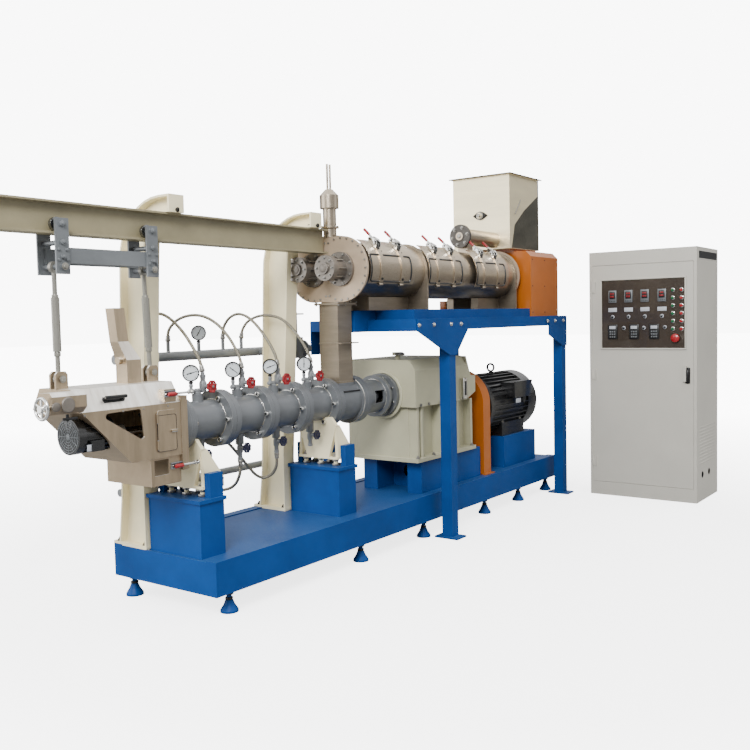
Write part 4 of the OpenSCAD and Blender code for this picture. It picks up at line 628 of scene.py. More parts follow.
# Pressure gauges: four on the barrel and one on the steam pipe
gaugeSetup = {"radius": 46, "thick": 32, "turn": math.radians(-35), "needles": (15, -38, 20, 88, 60),
              "low": 56, "stem": 58, "onPipe": (650, 372, 1386), "ticks": 11, "sweep": 27, "firstTick": 135}
facing = Vector((math.sin(gaugeSetup["turn"]), -math.cos(gaugeSetup["turn"]), 0))
gaugeFeet = [(x, barrelY, bossTop + gaugeSetup["low"]) for x in gaugeXs] + [gaugeSetup["onPipe"]]
r, t = gaugeSetup["radius"], gaugeSetup["thick"]
turn = turnTo(facing)
up = turn.inverted() @ Vector((0, 0, 1))
zeroAngle = math.atan2(up.y, up.x)
rightward = Vector((0, 0, 1)).cross(facing)
caseBm, bezelBm, faceBm, markBm = (bmesh.new() for _ in range(4))
for place, needle in zip(gaugeFeet, gaugeSetup["needles"]):
    centre = Vector(place) + Vector((0, 0, gaugeSetup["stem"]))
    back = centre - facing * t / 2
    front = back + facing * (t - 6.6)
    lathe(caseBm, back, facing, [(0, 0), (r - 8, 0), (r - 3, 3), (r - 3, t - 4), (r - 6, t - 4)], 40)
    rod(caseBm, centre - Vector((0, 0, r + 12)), centre - Vector((0, 0, r - 8)), 9, 18)
    rod(caseBm, centre - Vector((0, 0, r + 11)), centre - Vector((0, 0, r + 1)), 13, 6, edge=1.1)
    lathe(bezelBm, back, facing, [(r - 3, t - 12), (r - 1, t - 11), (r, t - 9), (r, t - 2), (r - 2, t),
                                  (r - 5, t), (r - 7, t - 2), (r - 7, t - 7)], 44)
    lathe(faceBm, back, facing, [(0, t - 7), (r - 5, t - 7), (r - 5, t - 9), (0, t - 9)], 40)
    for k in range(gaugeSetup["ticks"]):
        angle = zeroAngle + math.radians(gaugeSetup["firstTick"] - gaugeSetup["sweep"] * k)
        outward = turn @ Vector((math.cos(angle), math.sin(angle), 0))
        inside, width = (r - 17, 1.1) if k % 5 == 0 else (r - 14, 0.7)
        rod(markBm, front + outward * inside, front + outward * (r - 10), width, 6)
    needle = math.radians(needle)
    outward = rightward * math.cos(needle) + Vector((0, 0, math.sin(needle)))
    rod(markBm, front + facing - outward * 22, front + facing + outward * (r - 13), 2.6, 8, radiusEnd=1.4)
    rod(markBm, front, front + facing * 3, 4.2, 16, edge=0.6)
piece("gauge_cases", caseBm, "frame", inkBlack, replaces=["pressure_gauges"])
piece("gauge_bezels", bezelBm, "frame", darkBolt)
piece("gauge_faces", faceBm, "frame", dialWhite)
piece("gauge_marks", markBm, "frame", inkBlack)
print("barrel dressed")


# Supports, skid and posts
supportSetup = {"brackets": (158, 1275), "top": 598, "foot": 57, "dx": 45, "dy": 120, "pedestals": (20, 1158),
                "jackX": 168, "jackY": 177, "jackUp": 88}
top = supportSetup["top"]
bm = bmesh.new()
for bracketX in supportSetup["brackets"]:
    for dx in (-1, 1):
        for dy in (-1, 0, 1):
            x, y = bracketX + dx * supportSetup["dx"], barrelY + dy * supportSetup["dy"]
            hexBolt(bm, (x, y, top + supportSetup["foot"]), (0, 0, 1), size=16, height=11, stud=10)
            rod(bm, (x, y, top), (x, y, top + 14), 24, 6, edge=1.6)
            rod(bm, (x, y, top + 28), (x, y, top + 41), 22, 6, edge=1.6)
# Jacking screws through the blocks on the pedestals
for x in supportSetup["pedestals"]:
    for side in (-1, 1):
        y, z = barrelY + side * supportSetup["jackY"], top + supportSetup["jackUp"]
        hexBolt(bm, (x + supportSetup["jackX"], y, z), (1, 0, 0), size=11, height=9, stud=12)
piece("bracket_bolts", bm, "frame", boltSteel)

postSetup = {"xs": (0, 1112), "footXs": (22, 78), "footYs": (160, 372), "footZ": 314,
             "armX": 45, "armYs": (-95, -165), "armZ": 2080, "topX": 50, "topYs": (-118, -42), "topZ": 2069}
bm = bmesh.new()
for x in postSetup["xs"]:
    for dx in postSetup["footXs"]:
        for y in postSetup["footYs"]:
            hexBolt(bm, (x + dx, y, postSetup["footZ"]), (0, 0, 1), size=13, height=10, stud=8)
    # Bolts that hold the rail to the post's arm
    for y in postSetup["armYs"]:
        hexBolt(bm, (x + postSetup["armX"], y, postSetup["armZ"]), (-1, 0, 0), size=10, height=8)
    for y in postSetup["topYs"]:
        hexBolt(bm, (x + postSetup["topX"], y, postSetup["topZ"]), (0, 0, 1), size=9, height=7)
piece("post_bolts", bm, "frame", darkBolt)

# Lock nuts of the levelling feet, as (low, high, radius); each pair is the near and the far foot
footSetup = {"pairs": ((150, 75), *((x, x) for x in (1290, 2010, 2870, 3430, 3940))), "y": 332,
             "nuts": ((92, 105, 26), (66, 78, 22))}
bm = bmesh.new()
for pair in footSetup["pairs"]:
    for x, y in zip(pair, (-footSetup["y"], footSetup["y"])):
        for low, high, radius in footSetup["nuts"]:
            rod(bm, (x, y, low), (x, y, high), radius, 6, edge=2)
piece("foot_nuts", bm, "frame", darkBolt)

# Platform bolts in the gusset plates and beams, in rows of (side, y, places along the machine)
platformSetup = {"rows": ((-1, -550, (1671, 1848, 2062, 2193, 3560, 3700, 3860)),
                          (1, 590, (2062, 2193, 3560, 3700, 3860))), "z": 1458}
bm = bmesh.new()
for side, y, xs in platformSetup["rows"]:
    for x in xs:
        hexBolt(bm, (x, y, platformSetup["z"]), (0, side, 0), size=11, height=8, stud=3)
piece("platform_bolts", bm, "frame", polished)
print("supports dressed")


# Gearbox and main motor
gearLow, gearHigh = boxOf("gearbox")
gearSetup = {"feet": (1950, 2150, 2420, 2680), "footYs": (24, 588), "footUp": 28,
             "joint": (1960, 2060, 2220, 2390, 2520), "jointUp": 396, "breather": (2004, 200, -22),
             "coverX": 1914, "sightX": 2525, "sightZ": 988}
bm = bmesh.new()
for x in gearSetup["feet"]:
    for dy in gearSetup["footYs"]:
        y, z = gearLow.y + dy, gearLow.z + gearSetup["footUp"]
        hexBolt(bm, (x, y, z), (0, 0, 1), size=13, height=10, stud=9)
for x in gearSetup["joint"]:
    hexBolt(bm, (x, gearLow.y, gearLow.z + gearSetup["jointUp"]), (0, -1, 0), size=9, height=7)
piece("gearbox_bolts", bm, "frame", boltSteel)

# Mushroom breather and output cover
bm = bmesh.new()
x, dy, dz = gearSetup["breather"]
lathe(bm, (x, gearLow.y + dy, gearHigh.z + dz), (0, 0, 1),
      [(0, 0), (28, 0), (40, 2), (42, 7), (38, 14), (26, 20), (10, 23), (0, 24)], 32)
piece("breather_cap", bm, "frame", boltSteel)
bm = bmesh.new()
coverProfile = [(150, -2), (168, -2), (168, 8), (164, 11), (150, 11)]
lathe(bm, (gearSetup["coverX"], barrelY, barrelZ), (-1, 0, 0), coverProfile, 64)
piece("output_cover", bm, "frame", gearPaint)

# Sight gauge in its frame
x, y, z = gearSetup["sightX"], gearLow.y, gearSetup["sightZ"]
bm = bmesh.new()
block(bm, (x - 26, y - 22, z - 75), (x + 26, y - 11, z + 75), edge=3)
piece("sight_frame", bm, "frame", polished)
bm = bmesh.new()
block(bm, (x - 12, y - 25, z - 52), (x + 12, y - 20, z + 52), edge=2)
piece("sight_tube", bm, "frame", inkBlack)

motorSetup = {"x": 3010, "length": 820, "y": -90, "z": 800, "tieX": 60, "ties": 226, "boxX": 262,
              "boxLength": 306, "boxY": 308, "boxLow": 52, "boxHeight": 131, "glandX": 470,
              "feet": (290, 590), "footY": 175, "footDown": 150}
mx, my, mz = motorSetup["x"], motorSetup["y"], motorSetup["z"]
bm = bmesh.new()
# Lid of the terminal box, on the motor's near side, and its cable gland
lidX, lidY, lidZ = mx + motorSetup["boxX"], my - motorSetup["boxY"], mz + motorSetup["boxLow"]
length, height = motorSetup["boxLength"], motorSetup["boxHeight"]
block(bm, (lidX, lidY, lidZ), (lidX + length, lidY + 10, lidZ + height), edge=4)
for dx in (10, length - 10):
    for dz in (10, height - 10):
        capScrew(bm, (lidX + dx, lidY, lidZ + dz), (0, -1, 0), 6, 4)
glandX, glandY = mx + motorSetup["glandX"], my - 275
rod(bm, (glandX, glandY, mz + 60), (glandX, glandY, mz + 20), 22, 6, edge=2)
rod(bm, (glandX, glandY, mz + 20), (glandX, glandY, mz + 2), 17, 24, edge=1.5)
# Tie bolts, and the grille of the fan cover
boltCircle(bm, (mx + motorSetup["tieX"], my, mz), (1, 0, 0), motorSetup["ties"], 8, first=0.39, size=10,
           height=8)
grille = Vector((mx + motorSetup["length"], my, mz))
for k in range(9):
    ring(bm, grille, (1, 0, 0), 40 + k * 19, 2.6, 44, 6)
for p in circlePoints(grille, (1, 0, 0), 196, 12):
    rod(bm, grille, p, 2.6, 6)
rod(bm, grille - Vector((2, 0, 0)), grille + Vector((6, 0, 0)), 34, 28, edge=2)
piece("motor_trim", bm, "frame", motorBlack)
bm = bmesh.new()
for side in (-1, 1):
    for dx in motorSetup["feet"]:
        seat = (mx + dx, my + side * motorSetup["footY"], mz - motorSetup["footDown"])
        hexBolt(bm, seat, (0, 0, 1), size=14, height=11, stud=9)
piece("motor_bolts", bm, "frame", boltSteel)
bm = bmesh.new()
block(bm, (mx + 300, my - 300, mz + 10), (mx + 380, my - 296, mz + 46), edge=1)
piece("motor_plate", bm, "frame", paleGrey)
print("drive dressed")


# Conditioner
shellHigh = boxOf("conditioner_shell")[1]
endLow = boxOf("conditioner_ends")[0]
chuteLow, chuteHigh = boxOf("transfer_chute")
drumYs, drumZ = (-200, 20), 1820
endSetup = {"screws": 24, "circle": 192, "clear": 200, "plateBolts": 92, "capBolts": 60, "studs": 71,
            "cap": [(0, -4), (36, -4), (36, 2), (26, 2), (26, 5), (22, 7), (0, 7)]}
face = endLow.x
bm = bmesh.new()
for y, other in zip(drumYs, reversed(drumYs)):
    # Screws round the end plate, only on its free outer side
    for k in range(endSetup["screws"]):
        angle = 2 * math.pi * k / endSetup["screws"]
        py, pz = y + endSetup["circle"] * math.cos(angle), drumZ + endSetup["circle"] * math.sin(angle)
        if math.hypot(py - other, pz - drumZ) > endSetup["clear"]:
            capScrew(bm, (face, py, pz), (-1, 0, 0), 7, 5)
    boltCircle(bm, (face - 22, y, drumZ), (-1, 0, 0), endSetup["plateBolts"], 8, first=0.39, size=8,
               height=7, stud=3)
    boltCircle(bm, (face - 165, y, drumZ), (-1, 0, 0), endSetup["capBolts"], 8, first=0.0, size=7.5,
               height=6, stud=4)
    # Studs between the bearing's two flanges
    for p in circlePoints((face - 70, y, drumZ), (-1, 0, 0), endSetup["studs"], 8):
        rod(bm, p - Vector((49, 0, 0)), p + Vector((30, 0, 0)), 5, 10)
piece("bearing_bolts", bm, "frame", boltSteel)
bm = bmesh.new()
for y in drumYs:
    lathe(bm, (face - 177, y, drumZ), (-1, 0, 0), endSetup["cap"], 32)
    ring(bm, (face - 116, y, drumZ), (1, 0, 0), 66, 5, 44, 8)
piece("bearing_caps", bm, "frame", castSteel)

# Bolts of the stack's collar and of the chute's flange, above and below
bm = bmesh.new()
stackSetup = {"x": 1366, "y": -90, "up": 68, "circle": 50}
collar = (stackSetup["x"], stackSetup["y"], shellHigh.z + stackSetup["up"])
boltCircle(bm, collar, (0, 0, 1), stackSetup["circle"], 6, first=0.3, size=6, height=5)
for x in (chuteLow.x + 10, chuteLow.x + 78, chuteHigh.x - 10):
    for y in (chuteLow.y + 10, chuteHigh.y - 10):
        hexBolt(bm, (x, y, chuteHigh.z), (0, 0, 1), size=6, height=5)
        hexBolt(bm, (x, y, chuteHigh.z - 12), (0, 0, -1), size=6, height=5)
piece("stack_bolts", bm, "frame", boltSteel)
print("conditioner dressed")


# Lids: skin, gasket, two straps and two clamps each; angles in degrees from the near side upwards
lidSetup = {"skinEnds": (1858, 2526, 3186), "lefts": (1377, 2048, 2693), "rights": (1815, 2470, 3126),
            "straps": ((1489, 1715), (2160, 2373), (2807, 3019)), "low": -28, "high": 62, "gasketLow": -23,
            "gasketHigh": 24, "gasket": 6.2, "strapWidth": 36, "arcSteps": 18,
            "cheek": ((36, 211), (40, 238), (47, 250), (58, 243), (60, 222), (56, 208)),
            "hook": ((38, 211), (43, 232), (50, 228), (50, 211)), "lean": Vector((0, 0.74, 0.67))}


def onLid(x, angle, radius):
    return around(x, drumYs[0], drumZ, angle, radius)


def outFrom(angle):
    return onLid(0, angle, 1) - onLid(0, angle, 0)


def lidArc(bm, x, length, low, high, inner, outer):
    angles = [low + (high - low) * k / lidSetup["arcSteps"] for k in range(lidSetup["arcSteps"] + 1)]
    outline = [onLid(x, a, outer) for a in angles] + [onLid(x, a, inner) for a in reversed(angles)]
    slab(bm, outline, (length, 0, 0))


# Clamp: two leaning cheeks, a hook, two pins and a lever with a red sleeve
def lidClamp(x, clampBm, boltBm, gripBm):
    for side in (-1, 1):
        cheek = [onLid(x + side * 17, a, radius) for a, radius in lidSetup["cheek"]]
        hook = [onLid(x + side * 10, a, radius) for a, radius in lidSetup["hook"]]
        slab(clampBm, cheek, (side * 6, 0, 0), edge=0.8)
        slab(clampBm, hook, (side * 14, 0, 0), edge=0.8)
    for a, radius in ((44, 238), (55, 230)):
        rod(boltBm, onLid(x - 27, a, radius), onLid(x + 27, a, radius), 6.5, 6, edge=0.8)
    rod(boltBm, onLid(x, 34, 214), onLid(x, 50, 236), 7, 14, edge=1)
    start, lean = onLid(x, 54, 234), lidSetup["lean"]
    rod(clampBm, start, start + lean * 46, 6.5, 14, edge=1)
    rod(gripBm, start + lean * 36, start + lean * 96, 9.0, 16, edge=3)


for index in (0, 1, 2):
    body = f"conditioner_lid_{index + 1}"
    left, right = lidSetup["lefts"][index], lidSetup["rights"][index]
    bm = bmesh.new()
    skinLength = lidSetup["skinEnds"][index] - left + 6
    lidArc(bm, left - 6, skinLength, lidSetup["low"], lidSetup["high"], 200.4, 205.2)
    door = f"conditioner_door_{index + 1}"
    piece(f"lid_skin_{index + 1}", bm, body, satinSteel, replaces=[door])
    # Black gasket round the lid, proud of its skin
    bm = bmesh.new()
    first, last = lidSetup["gasketHigh"], lidSetup["gasketLow"]
    outline = bluntOutline(left, right, first, last, (14, 4), (4, 1.2), steps=10)
    wire(bm, [onLid(x, a, 205.4) for x, a in outline], lidSetup["gasket"])
    piece(f"lid_gasket_{index + 1}", bm, body, inkBlack)
    strapBm, clampBm, gripBm, boltBm = (bmesh.new() for _ in range(4))
    for x in lidSetup["straps"][index]:
        lidArc(strapBm, x - lidSetup["strapWidth"] / 2, lidSetup["strapWidth"], -31, 50, 205.0, 213.0)
        # Hinge ear with its bolt at the strap's foot
        foot = onLid(x, -28, 214)
        for target, half, radius, sides, edge in ((strapBm, 18, 8, 20, 1), (boltBm, 24, 5, 6, 0.8)):
            rod(target, foot - Vector((half, 0, 0)), foot + Vector((half, 0, 0)), radius, sides, edge=edge)
        hexBolt(boltBm, onLid(x, -18, 212), outFrom(-18), size=7, height=5)
        hexBolt(boltBm, onLid(x + 24, 31, 205), outFrom(31), size=6, height=6)
        lidClamp(x, clampBm, boltBm, gripBm)
    piece(f"lid_straps_{index + 1}", strapBm, body, satinSteel)
    piece(f"lid_clamps_{index + 1}", clampBm, body, chromeSteel)
    piece(f"lid_bolts_{index + 1}", boltBm, body, darkBolt)
    piece(f"lid_grips_{index + 1}", gripBm, body, wheelRed)
print("lids dressed")


# Hopper
hopLow, hopHigh = boxOf("feed_hopper")
hopperSetup = {"face": 3313, "low": 2046, "corner": 3817, "sightY": -88, "sightZ": 2316, "rim": 9,
               "diamond": [(-66, 0), (-30, 26), (0, 36), (30, 26), (66, 0), (30, -26), (0, -36), (-30, -26)],
               "field": ((3342, 2046), (3398, 2232), (3560, 2352), (3812, 2492), (3812, 2046))}
face, sightY, sightZ = (hopperSetup[key] for key in ("face", "sightY", "sightZ"))
bm = bmesh.new()
ring(bm, (face - 14, sightY, sightZ), (1, 0, 0), 27, 5, 32, 10)
lathe(bm, (face - 26, sightY, sightZ), (-1, 0, 0), [(0, 0), (15, 0), (15, 12), (11, 16), (0, 16)], 24)
rod(bm, (3402, hopLow.y + 19, 2318), (3500, hopLow.y + 19, 2436), 4.5, 10, edge=1)
piece("hopper_trim", bm, "frame", boltSteel)
# Black sight flange, rim line and corner strip
bm = bmesh.new()
slab(bm, [(face, sightY + dy, sightZ + dz) for dy, dz in hopperSetup["diamond"]], (-9, 0, 0), edge=1.5)
for dy in (-48, 48):
    hexBolt(bm, (face - 9, sightY + dy, sightZ), (-1, 0, 0), size=7, height=6)
rimLow, rimHigh = hopHigh.z - hopperSetup["rim"], hopHigh.z - 0.3
block(bm, (hopLow.x - 1, hopLow.y - 1, rimLow), (hopHigh.x + 1, hopLow.y + 2, rimHigh))
block(bm, (hopLow.x - 1, hopLow.y - 1, rimLow), (hopLow.x + 2, hopHigh.y + 1, rimHigh))
x = hopperSetup["corner"]
block(bm, (x, hopLow.y + 20, hopperSetup["low"]), (x + 12.5, hopLow.y + 24, rimLow - 2))
piece("hopper_edges", bm, "frame", darkBolt)
# Dark field on the lower side sheet, behind its fold: a painted reflection
bm = bmesh.new()
slab(bm, [(x, hopLow.y + 22.4, z) for x, z in hopperSetup["field"]], (0, -1.6, 0))
piece("hopper_side", bm, "frame", hopperPaintedReflection)

# Screw feeder: end cover, its bolts, and screws along the trough
feederSetup = {"endX": 2808, "y": -200, "z": 2112, "circle": 66, "troughX": 2870,
               "screws": (-120, -40, 40, 120),
               "cover": [(0, -2), (89, -2), (89, 18), (86, 21), (40, 21), (36, 25), (0, 25)]}
endX, y, z = feederSetup["endX"], feederSetup["y"], feederSetup["z"]
bm = bmesh.new()
boltCircle(bm, (endX - 21, y, z), (-1, 0, 0), feederSetup["circle"], 6, first=0.2, size=10, height=9)
lathe(bm, (endX - 28, y, z), (-1, 0, 0), [(0, 0), (16, 0), (16, 5), (11, 9), (0, 9)], 24)
for dx in feederSetup["screws"]:
    hexBolt(bm, (feederSetup["troughX"] + dx, y + 38, z - 56), (0, -1, 0), size=5, height=4)
piece("feeder_bolts", bm, "frame", boltSteel)
bm = bmesh.new()
lathe(bm, (endX, y, z), (-1, 0, 0), feederSetup["cover"], 56)
piece("feeder_cover", bm, "frame", castDark)

# Orange foot under the drum with its bolt, and the drive housing's screws
driveFootSetup = {"low": (3012, 70), "high": (3235, 130), "height": 74, "boltY": 96, "boltUp": 46}
platformTop = boxOf("platform_frame")[1].z
bm = bmesh.new()
footTop = platformTop + driveFootSetup["height"]
block(bm, (*driveFootSetup["low"], platformTop - 2), (*driveFootSetup["high"], footTop), edge=6)
piece("drive_foot", bm, "frame", orangePaint)
bm = bmesh.new()
y, z = driveFootSetup["boltY"], platformTop + driveFootSetup["boltUp"]
rod(bm, (3232, y, z), (3272, y, z), 15, 6, edge=1)
piece("drive_foot_bolt", bm, "frame", darkBolt)
housingLow, housingHigh = boxOf("drive_housing")
housingSetup = {"xs": (3440, 3660, 3890), "nearZs": (1530, 1740, 1950), "ys": (-440, -90, 260),
                "endZs": (1530, 1740, 1940)}
bm = bmesh.new()
for x in housingSetup["xs"]:
    for z in housingSetup["nearZs"]:
        capScrew(bm, (x, housingLow.y, z), (0, -1, 0), 5, 3)
for y in housingSetup["ys"]:
    for z in housingSetup["endZs"]:
        capScrew(bm, (housingHigh.x, y, z), (1, 0, 0), 5, 3)
piece("housing_screws", bm, "frame", darkBolt)
print("feeding dressed")


# Overhead carriage: nuts of the trolleys and of the hangers' pins and turnbuckles
carriageSetup = {"xs": (-631, -119), "lowXs": (-632, -102), "plateOut": 75, "pinZ": 1771, "axleZ": 1962.3,
                 "bolts": (1813, 1879), "smallDx": (-22, 22), "smallZs": (1800, 1846), "lowPinZ": 1261,
                 "topOut": 88, "lowOut": 34, "lockNuts": (0.24, 0.8)}
pinZ, axleZ, lowPinZ = (carriageSetup[key] for key in ("pinZ", "axleZ", "lowPinZ"))
bm = bmesh.new()
for x in carriageSetup["xs"]:
    for side in (-1, 1):
        outer = barrelY + side * carriageSetup["plateOut"]
        for z in (pinZ, *carriageSetup["bolts"], axleZ):
            hexBolt(bm, (x, outer, z), (0, side, 0), size=15 if z in (pinZ, axleZ) else 10, height=10, stud=5)
        for dx in carriageSetup["smallDx"]:
            for z in carriageSetup["smallZs"]:
                hexBolt(bm, (x + dx, outer, z), (0, side, 0), size=7, height=5)
piece("trolley_nuts", bm, "cutter", carriageGrey)
bm = bmesh.new()
for topX, lowX in zip(carriageSetup["xs"], carriageSetup["lowXs"]):
    top, low = Vector((topX, barrelY, pinZ - 22)), Vector((lowX, barrelY, lowPinZ + 20))
    way = (low - top).normalized()
    for t in carriageSetup["lockNuts"]:
        p = top.lerp(low, t)
        rod(bm, p - way * 10, p + way * 10, 17, 6, edge=1.6)
    for x, out, z in ((topX, carriageSetup["topOut"], pinZ), (lowX, carriageSetup["lowOut"], lowPinZ)):
        for side in (-1, 1):
            hexBolt(bm, (x, barrelY + side * out, z), (0, side, 0), size=13, height=9)
piece("hanger_nuts", bm, "cutter", rodSteel)
print("carriage dressed")


# Cutter hood
hoodY = -260
hoodSetup = {"studX": -68, "studs": 138, "eaveXs": (-630, -420, -300, -150), "eaveZ": 1100,
             "adjuster": (-738, -296, 1160), "handle": (-450, -234, 1158), "wingX": -738, "wingZ": 1100}
bm = bmesh.new()
# Studs that clamp the hood's flange, on the side away from the barrel
studCentre = (hoodSetup["studX"], barrelY, barrelZ)
boltCircle(bm, studCentre, (-1, 0, 0), hoodSetup["studs"], 8, first=0.39, size=9, height=8, stud=4)
for x in hoodSetup["eaveXs"]:
    capScrew(bm, (x, hoodY, hoodSetup["eaveZ"]), (0, -1, 0), 5, 3)
for p in circlePoints(hoodSetup["adjuster"], (0, -1, 0), 26, 3, 0.5):
    capScrew(bm, p, (0, -1, 0), 4, 2.5)
piece("hood_bolts", bm, "cutter", boltSteel)

# Bar handle on the sloping roof, which runs 60 mm towards the near side while it falls 102 mm
bm = bmesh.new()
roofOut = Vector((0, -102, 60)).normalized()
handleAt = Vector(hoodSetup["handle"])
for dx in (-50, 48):
    foot = handleAt + Vector((dx, 0, 0))
    rod(bm, foot - roofOut * 2, foot + roofOut * 26, 6.5, 14)
    rod(bm, foot - roofOut * 2, foot + roofOut * 4, 14, 20, edge=1.5)
grip = handleAt + roofOut * 24
rod(bm, grip + Vector((-62, 0, 0)), grip + Vector((60, 0, 0)), 8.5, 18, edge=3)
# A thin black plate on the roof under the grip paints the shade of the handle's recess
tilt = Matrix.Rotation(math.atan2(-60, 102), 4, "X")
block(bm, handleAt + Vector((-58, -1, -15)), handleAt + Vector((56, 1, 15)), edge=0.6, turn=tilt)
piece("hood_handle", bm, "cutter", inkBlack)

# Disc covers and wing knob of the adjusting box
bm = bmesh.new()
lathe(bm, hoodSetup["adjuster"], (0, -1, 0), [(0, 0), (34, 0), (34, 4), (30, 7), (0, 7)], 36)
lathe(bm, (-800, hoodY - 36, 1156), (0, -1, 0), [(0, 0), (20, 0), (20, 10), (15, 13), (0, 13)], 28)
piece("adjuster_discs", bm, "cutter", castSteel)
bm = bmesh.new()
x, y, z = hoodSetup["wingX"], hoodY, hoodSetup["wingZ"]
rod(bm, (x, y - 28, z + 18), (x, y - 28, z - 12), 7, 14)
rod(bm, (x, y - 28, z), (x, y - 52, z), 6, 14)
block(bm, (x - 38, y - 54, z - 6), (x + 36, y - 44, z + 6), edge=3)
piece("wing_knob", bm, "cutter", inkBlack)

# Fan grille and blank plate of the cutter motor
cutterMotorSetup = {"end": (-650, -160, 1000), "radius": 84, "rings": 6, "ringStep": 12,
                    "plateX": (-612, -556)}
end = Vector(cutterMotorSetup["end"])
grille = end - Vector((1, 0, 0))
bm = bmesh.new()
for k in range(cutterMotorSetup["rings"]):
    ring(bm, grille, (1, 0, 0), 14 + k * cutterMotorSetup["ringStep"], 1.7, 36, 6)
for p in circlePoints(grille, (1, 0, 0), 74, 12):
    rod(bm, grille, p, 1.5, 6)
rod(bm, end - Vector((3, 0, 0)), end + Vector((3, 0, 0)), 12, 20, edge=1)
piece("cutter_motor_grille", bm, "cutter", carriageGrey)
bm = bmesh.new()
plateY = end.y - cutterMotorSetup["radius"]
x0, x1 = cutterMotorSetup["plateX"]
block(bm, (x0, plateY - 1, end.z - 66), (x1, plateY + 2, end.z - 36), edge=0.5)
piece("cutter_motor_plate", bm, "cutter", paleGrey)

# Toggle clamps
clampPlaces = ((-115, hoodY, 1160), (-80, hoodY + 10, 800))
gripProfile = [(0, 0), (8, 0), (11, 6), (11, 40), (9, 50), (4, 53), (0, 54)]
rodBm, gripBm, baseBm = bmesh.new(), bmesh.new(), bmesh.new()
for x, y, z in clampPlaces:
    block(baseBm, (x - 60, y - 13, z - 16), (x + 10, y - 1, z - 10), edge=1.5)
    block(baseBm, (x - 60, y - 13, z + 10), (x + 10, y - 1, z + 16), edge=1.5)
    block(baseBm, (x - 56, y - 4, z - 16), (x + 10, y, z + 16), edge=1.5)
    for dx in (-50, -26, 2):
        rod(rodBm, (x + dx, y - 14, z), (x + dx, y - 2, z), 5, 12, edge=0.8)
    # Pull rod with its two nuts, as (from, to, radius, sides, edge)
    for x0, x1, radius, sides, edge in ((-10, 108, 6, 18, 1), (96, 104, 12, 6, 1.2), (76, 84, 11, 6, 1.2)):
        rod(rodBm, (x + x0, y - 26, z), (x + x1, y - 26, z), radius, sides, edge=edge)
    block(baseBm, (x - 40, y - 28, z - 8), (x - 20, y - 12, z + 8), edge=2)
    lathe(gripBm, (x + 2, y - 26, z - 2), (-1, 0, 0), gripProfile, 18)
piece("clamp_bases", baseBm, "cutter", carriageGrey, replaces=["toggle_clamps"])
piece("clamp_rods", rodBm, "cutter", chromeSteel)
piece("clamp_grips", gripBm, "cutter", wheelRed)

# Latch, hinge pins and seam of the side panel
panelSetup = {"latch": (-142, -106), "latchZ": (969, 975), "pinX": -222, "pins": (914, 1044),
              "seam": (880, 1058)}
doorLow, doorHigh = boxOf("cutter_door")
bm = bmesh.new()
(x0, x1), (z0, z1) = panelSetup["latch"], panelSetup["latchZ"]
block(bm, (x0, hoodY - 18, z0), (x1, hoodY - 8, z1), edge=1)
for z in panelSetup["pins"]:
    rod(bm, (panelSetup["pinX"], hoodY - 6, z - 26), (panelSetup["pinX"], hoodY - 6, z + 26), 4, 12, edge=0.8)
piece("panel_latch", bm, "cutter_panel", boltSteel)
bm = bmesh.new()
outline = bluntOutline(doorLow.x + 3, doorHigh.x - 3, *panelSetup["seam"], (12, 12), (3, 3))
wire(bm, [(x, hoodY - 6.2, z) for x, z in outline], 1.6)
piece("panel_seam", bm, "cutter_panel", inkBlack)
print("cutter dressed")


# Control cabinet
cabLow, cabHigh = boxOf("control_cabinet")
leafX = cabLow.x + 2  # front of the door leaf; what stands on it is measured outwards, to smaller x
windowSetup = {"y": (-1512, -838), "z": (1223, 1774), "lip": 12}
(y0, y1), (z0, z1), lip = windowSetup["y"], windowSetup["z"], windowSetup["lip"]
bm = bmesh.new()
for (ya, za), (yb, zb) in (((y0 - lip, z0 - lip), (y1 + lip, z0)), ((y0 - lip, z1), (y1 + lip, z1 + lip)),
                           ((y0 - lip, z0), (y0, z1)), ((y1, z0), (y1 + lip, z1))):
    block(bm, (leafX - 8, ya, za), (leafX, yb, zb), edge=2)
piece("window_frame", bm, "cabinet_leaf", cabinetPaint)
bm = bmesh.new()
block(bm, (leafX - 2, y0, z0), (leafX, y1, z1))
piece("window_panel", bm, "cabinet_leaf", panelDark)

panelRows = {"meters": (-930, -1063, -1197, -1334), "meterZ": (1592, 1692), "labelZ": (1518, 1550),
             "knobZ": 1477, "lowKnobs": [(-1023, 1386), (-1188, 1385), (-1357, 1389)],
             "pads": (-931, -1110, -1273), "padZ": (1296, 1414)}
greyBm, darkBm, stripBm, digitBm = (bmesh.new() for _ in range(4))


# Plate on the door, from inner to outer millimetres before the leaf
def doorPlate(bm, inner, outer, y, half, z0, z1, edge=0.0):
    block(bm, (leafX - outer, y - half, z0), (leafX - inner, y + half, z1), edge=edge)


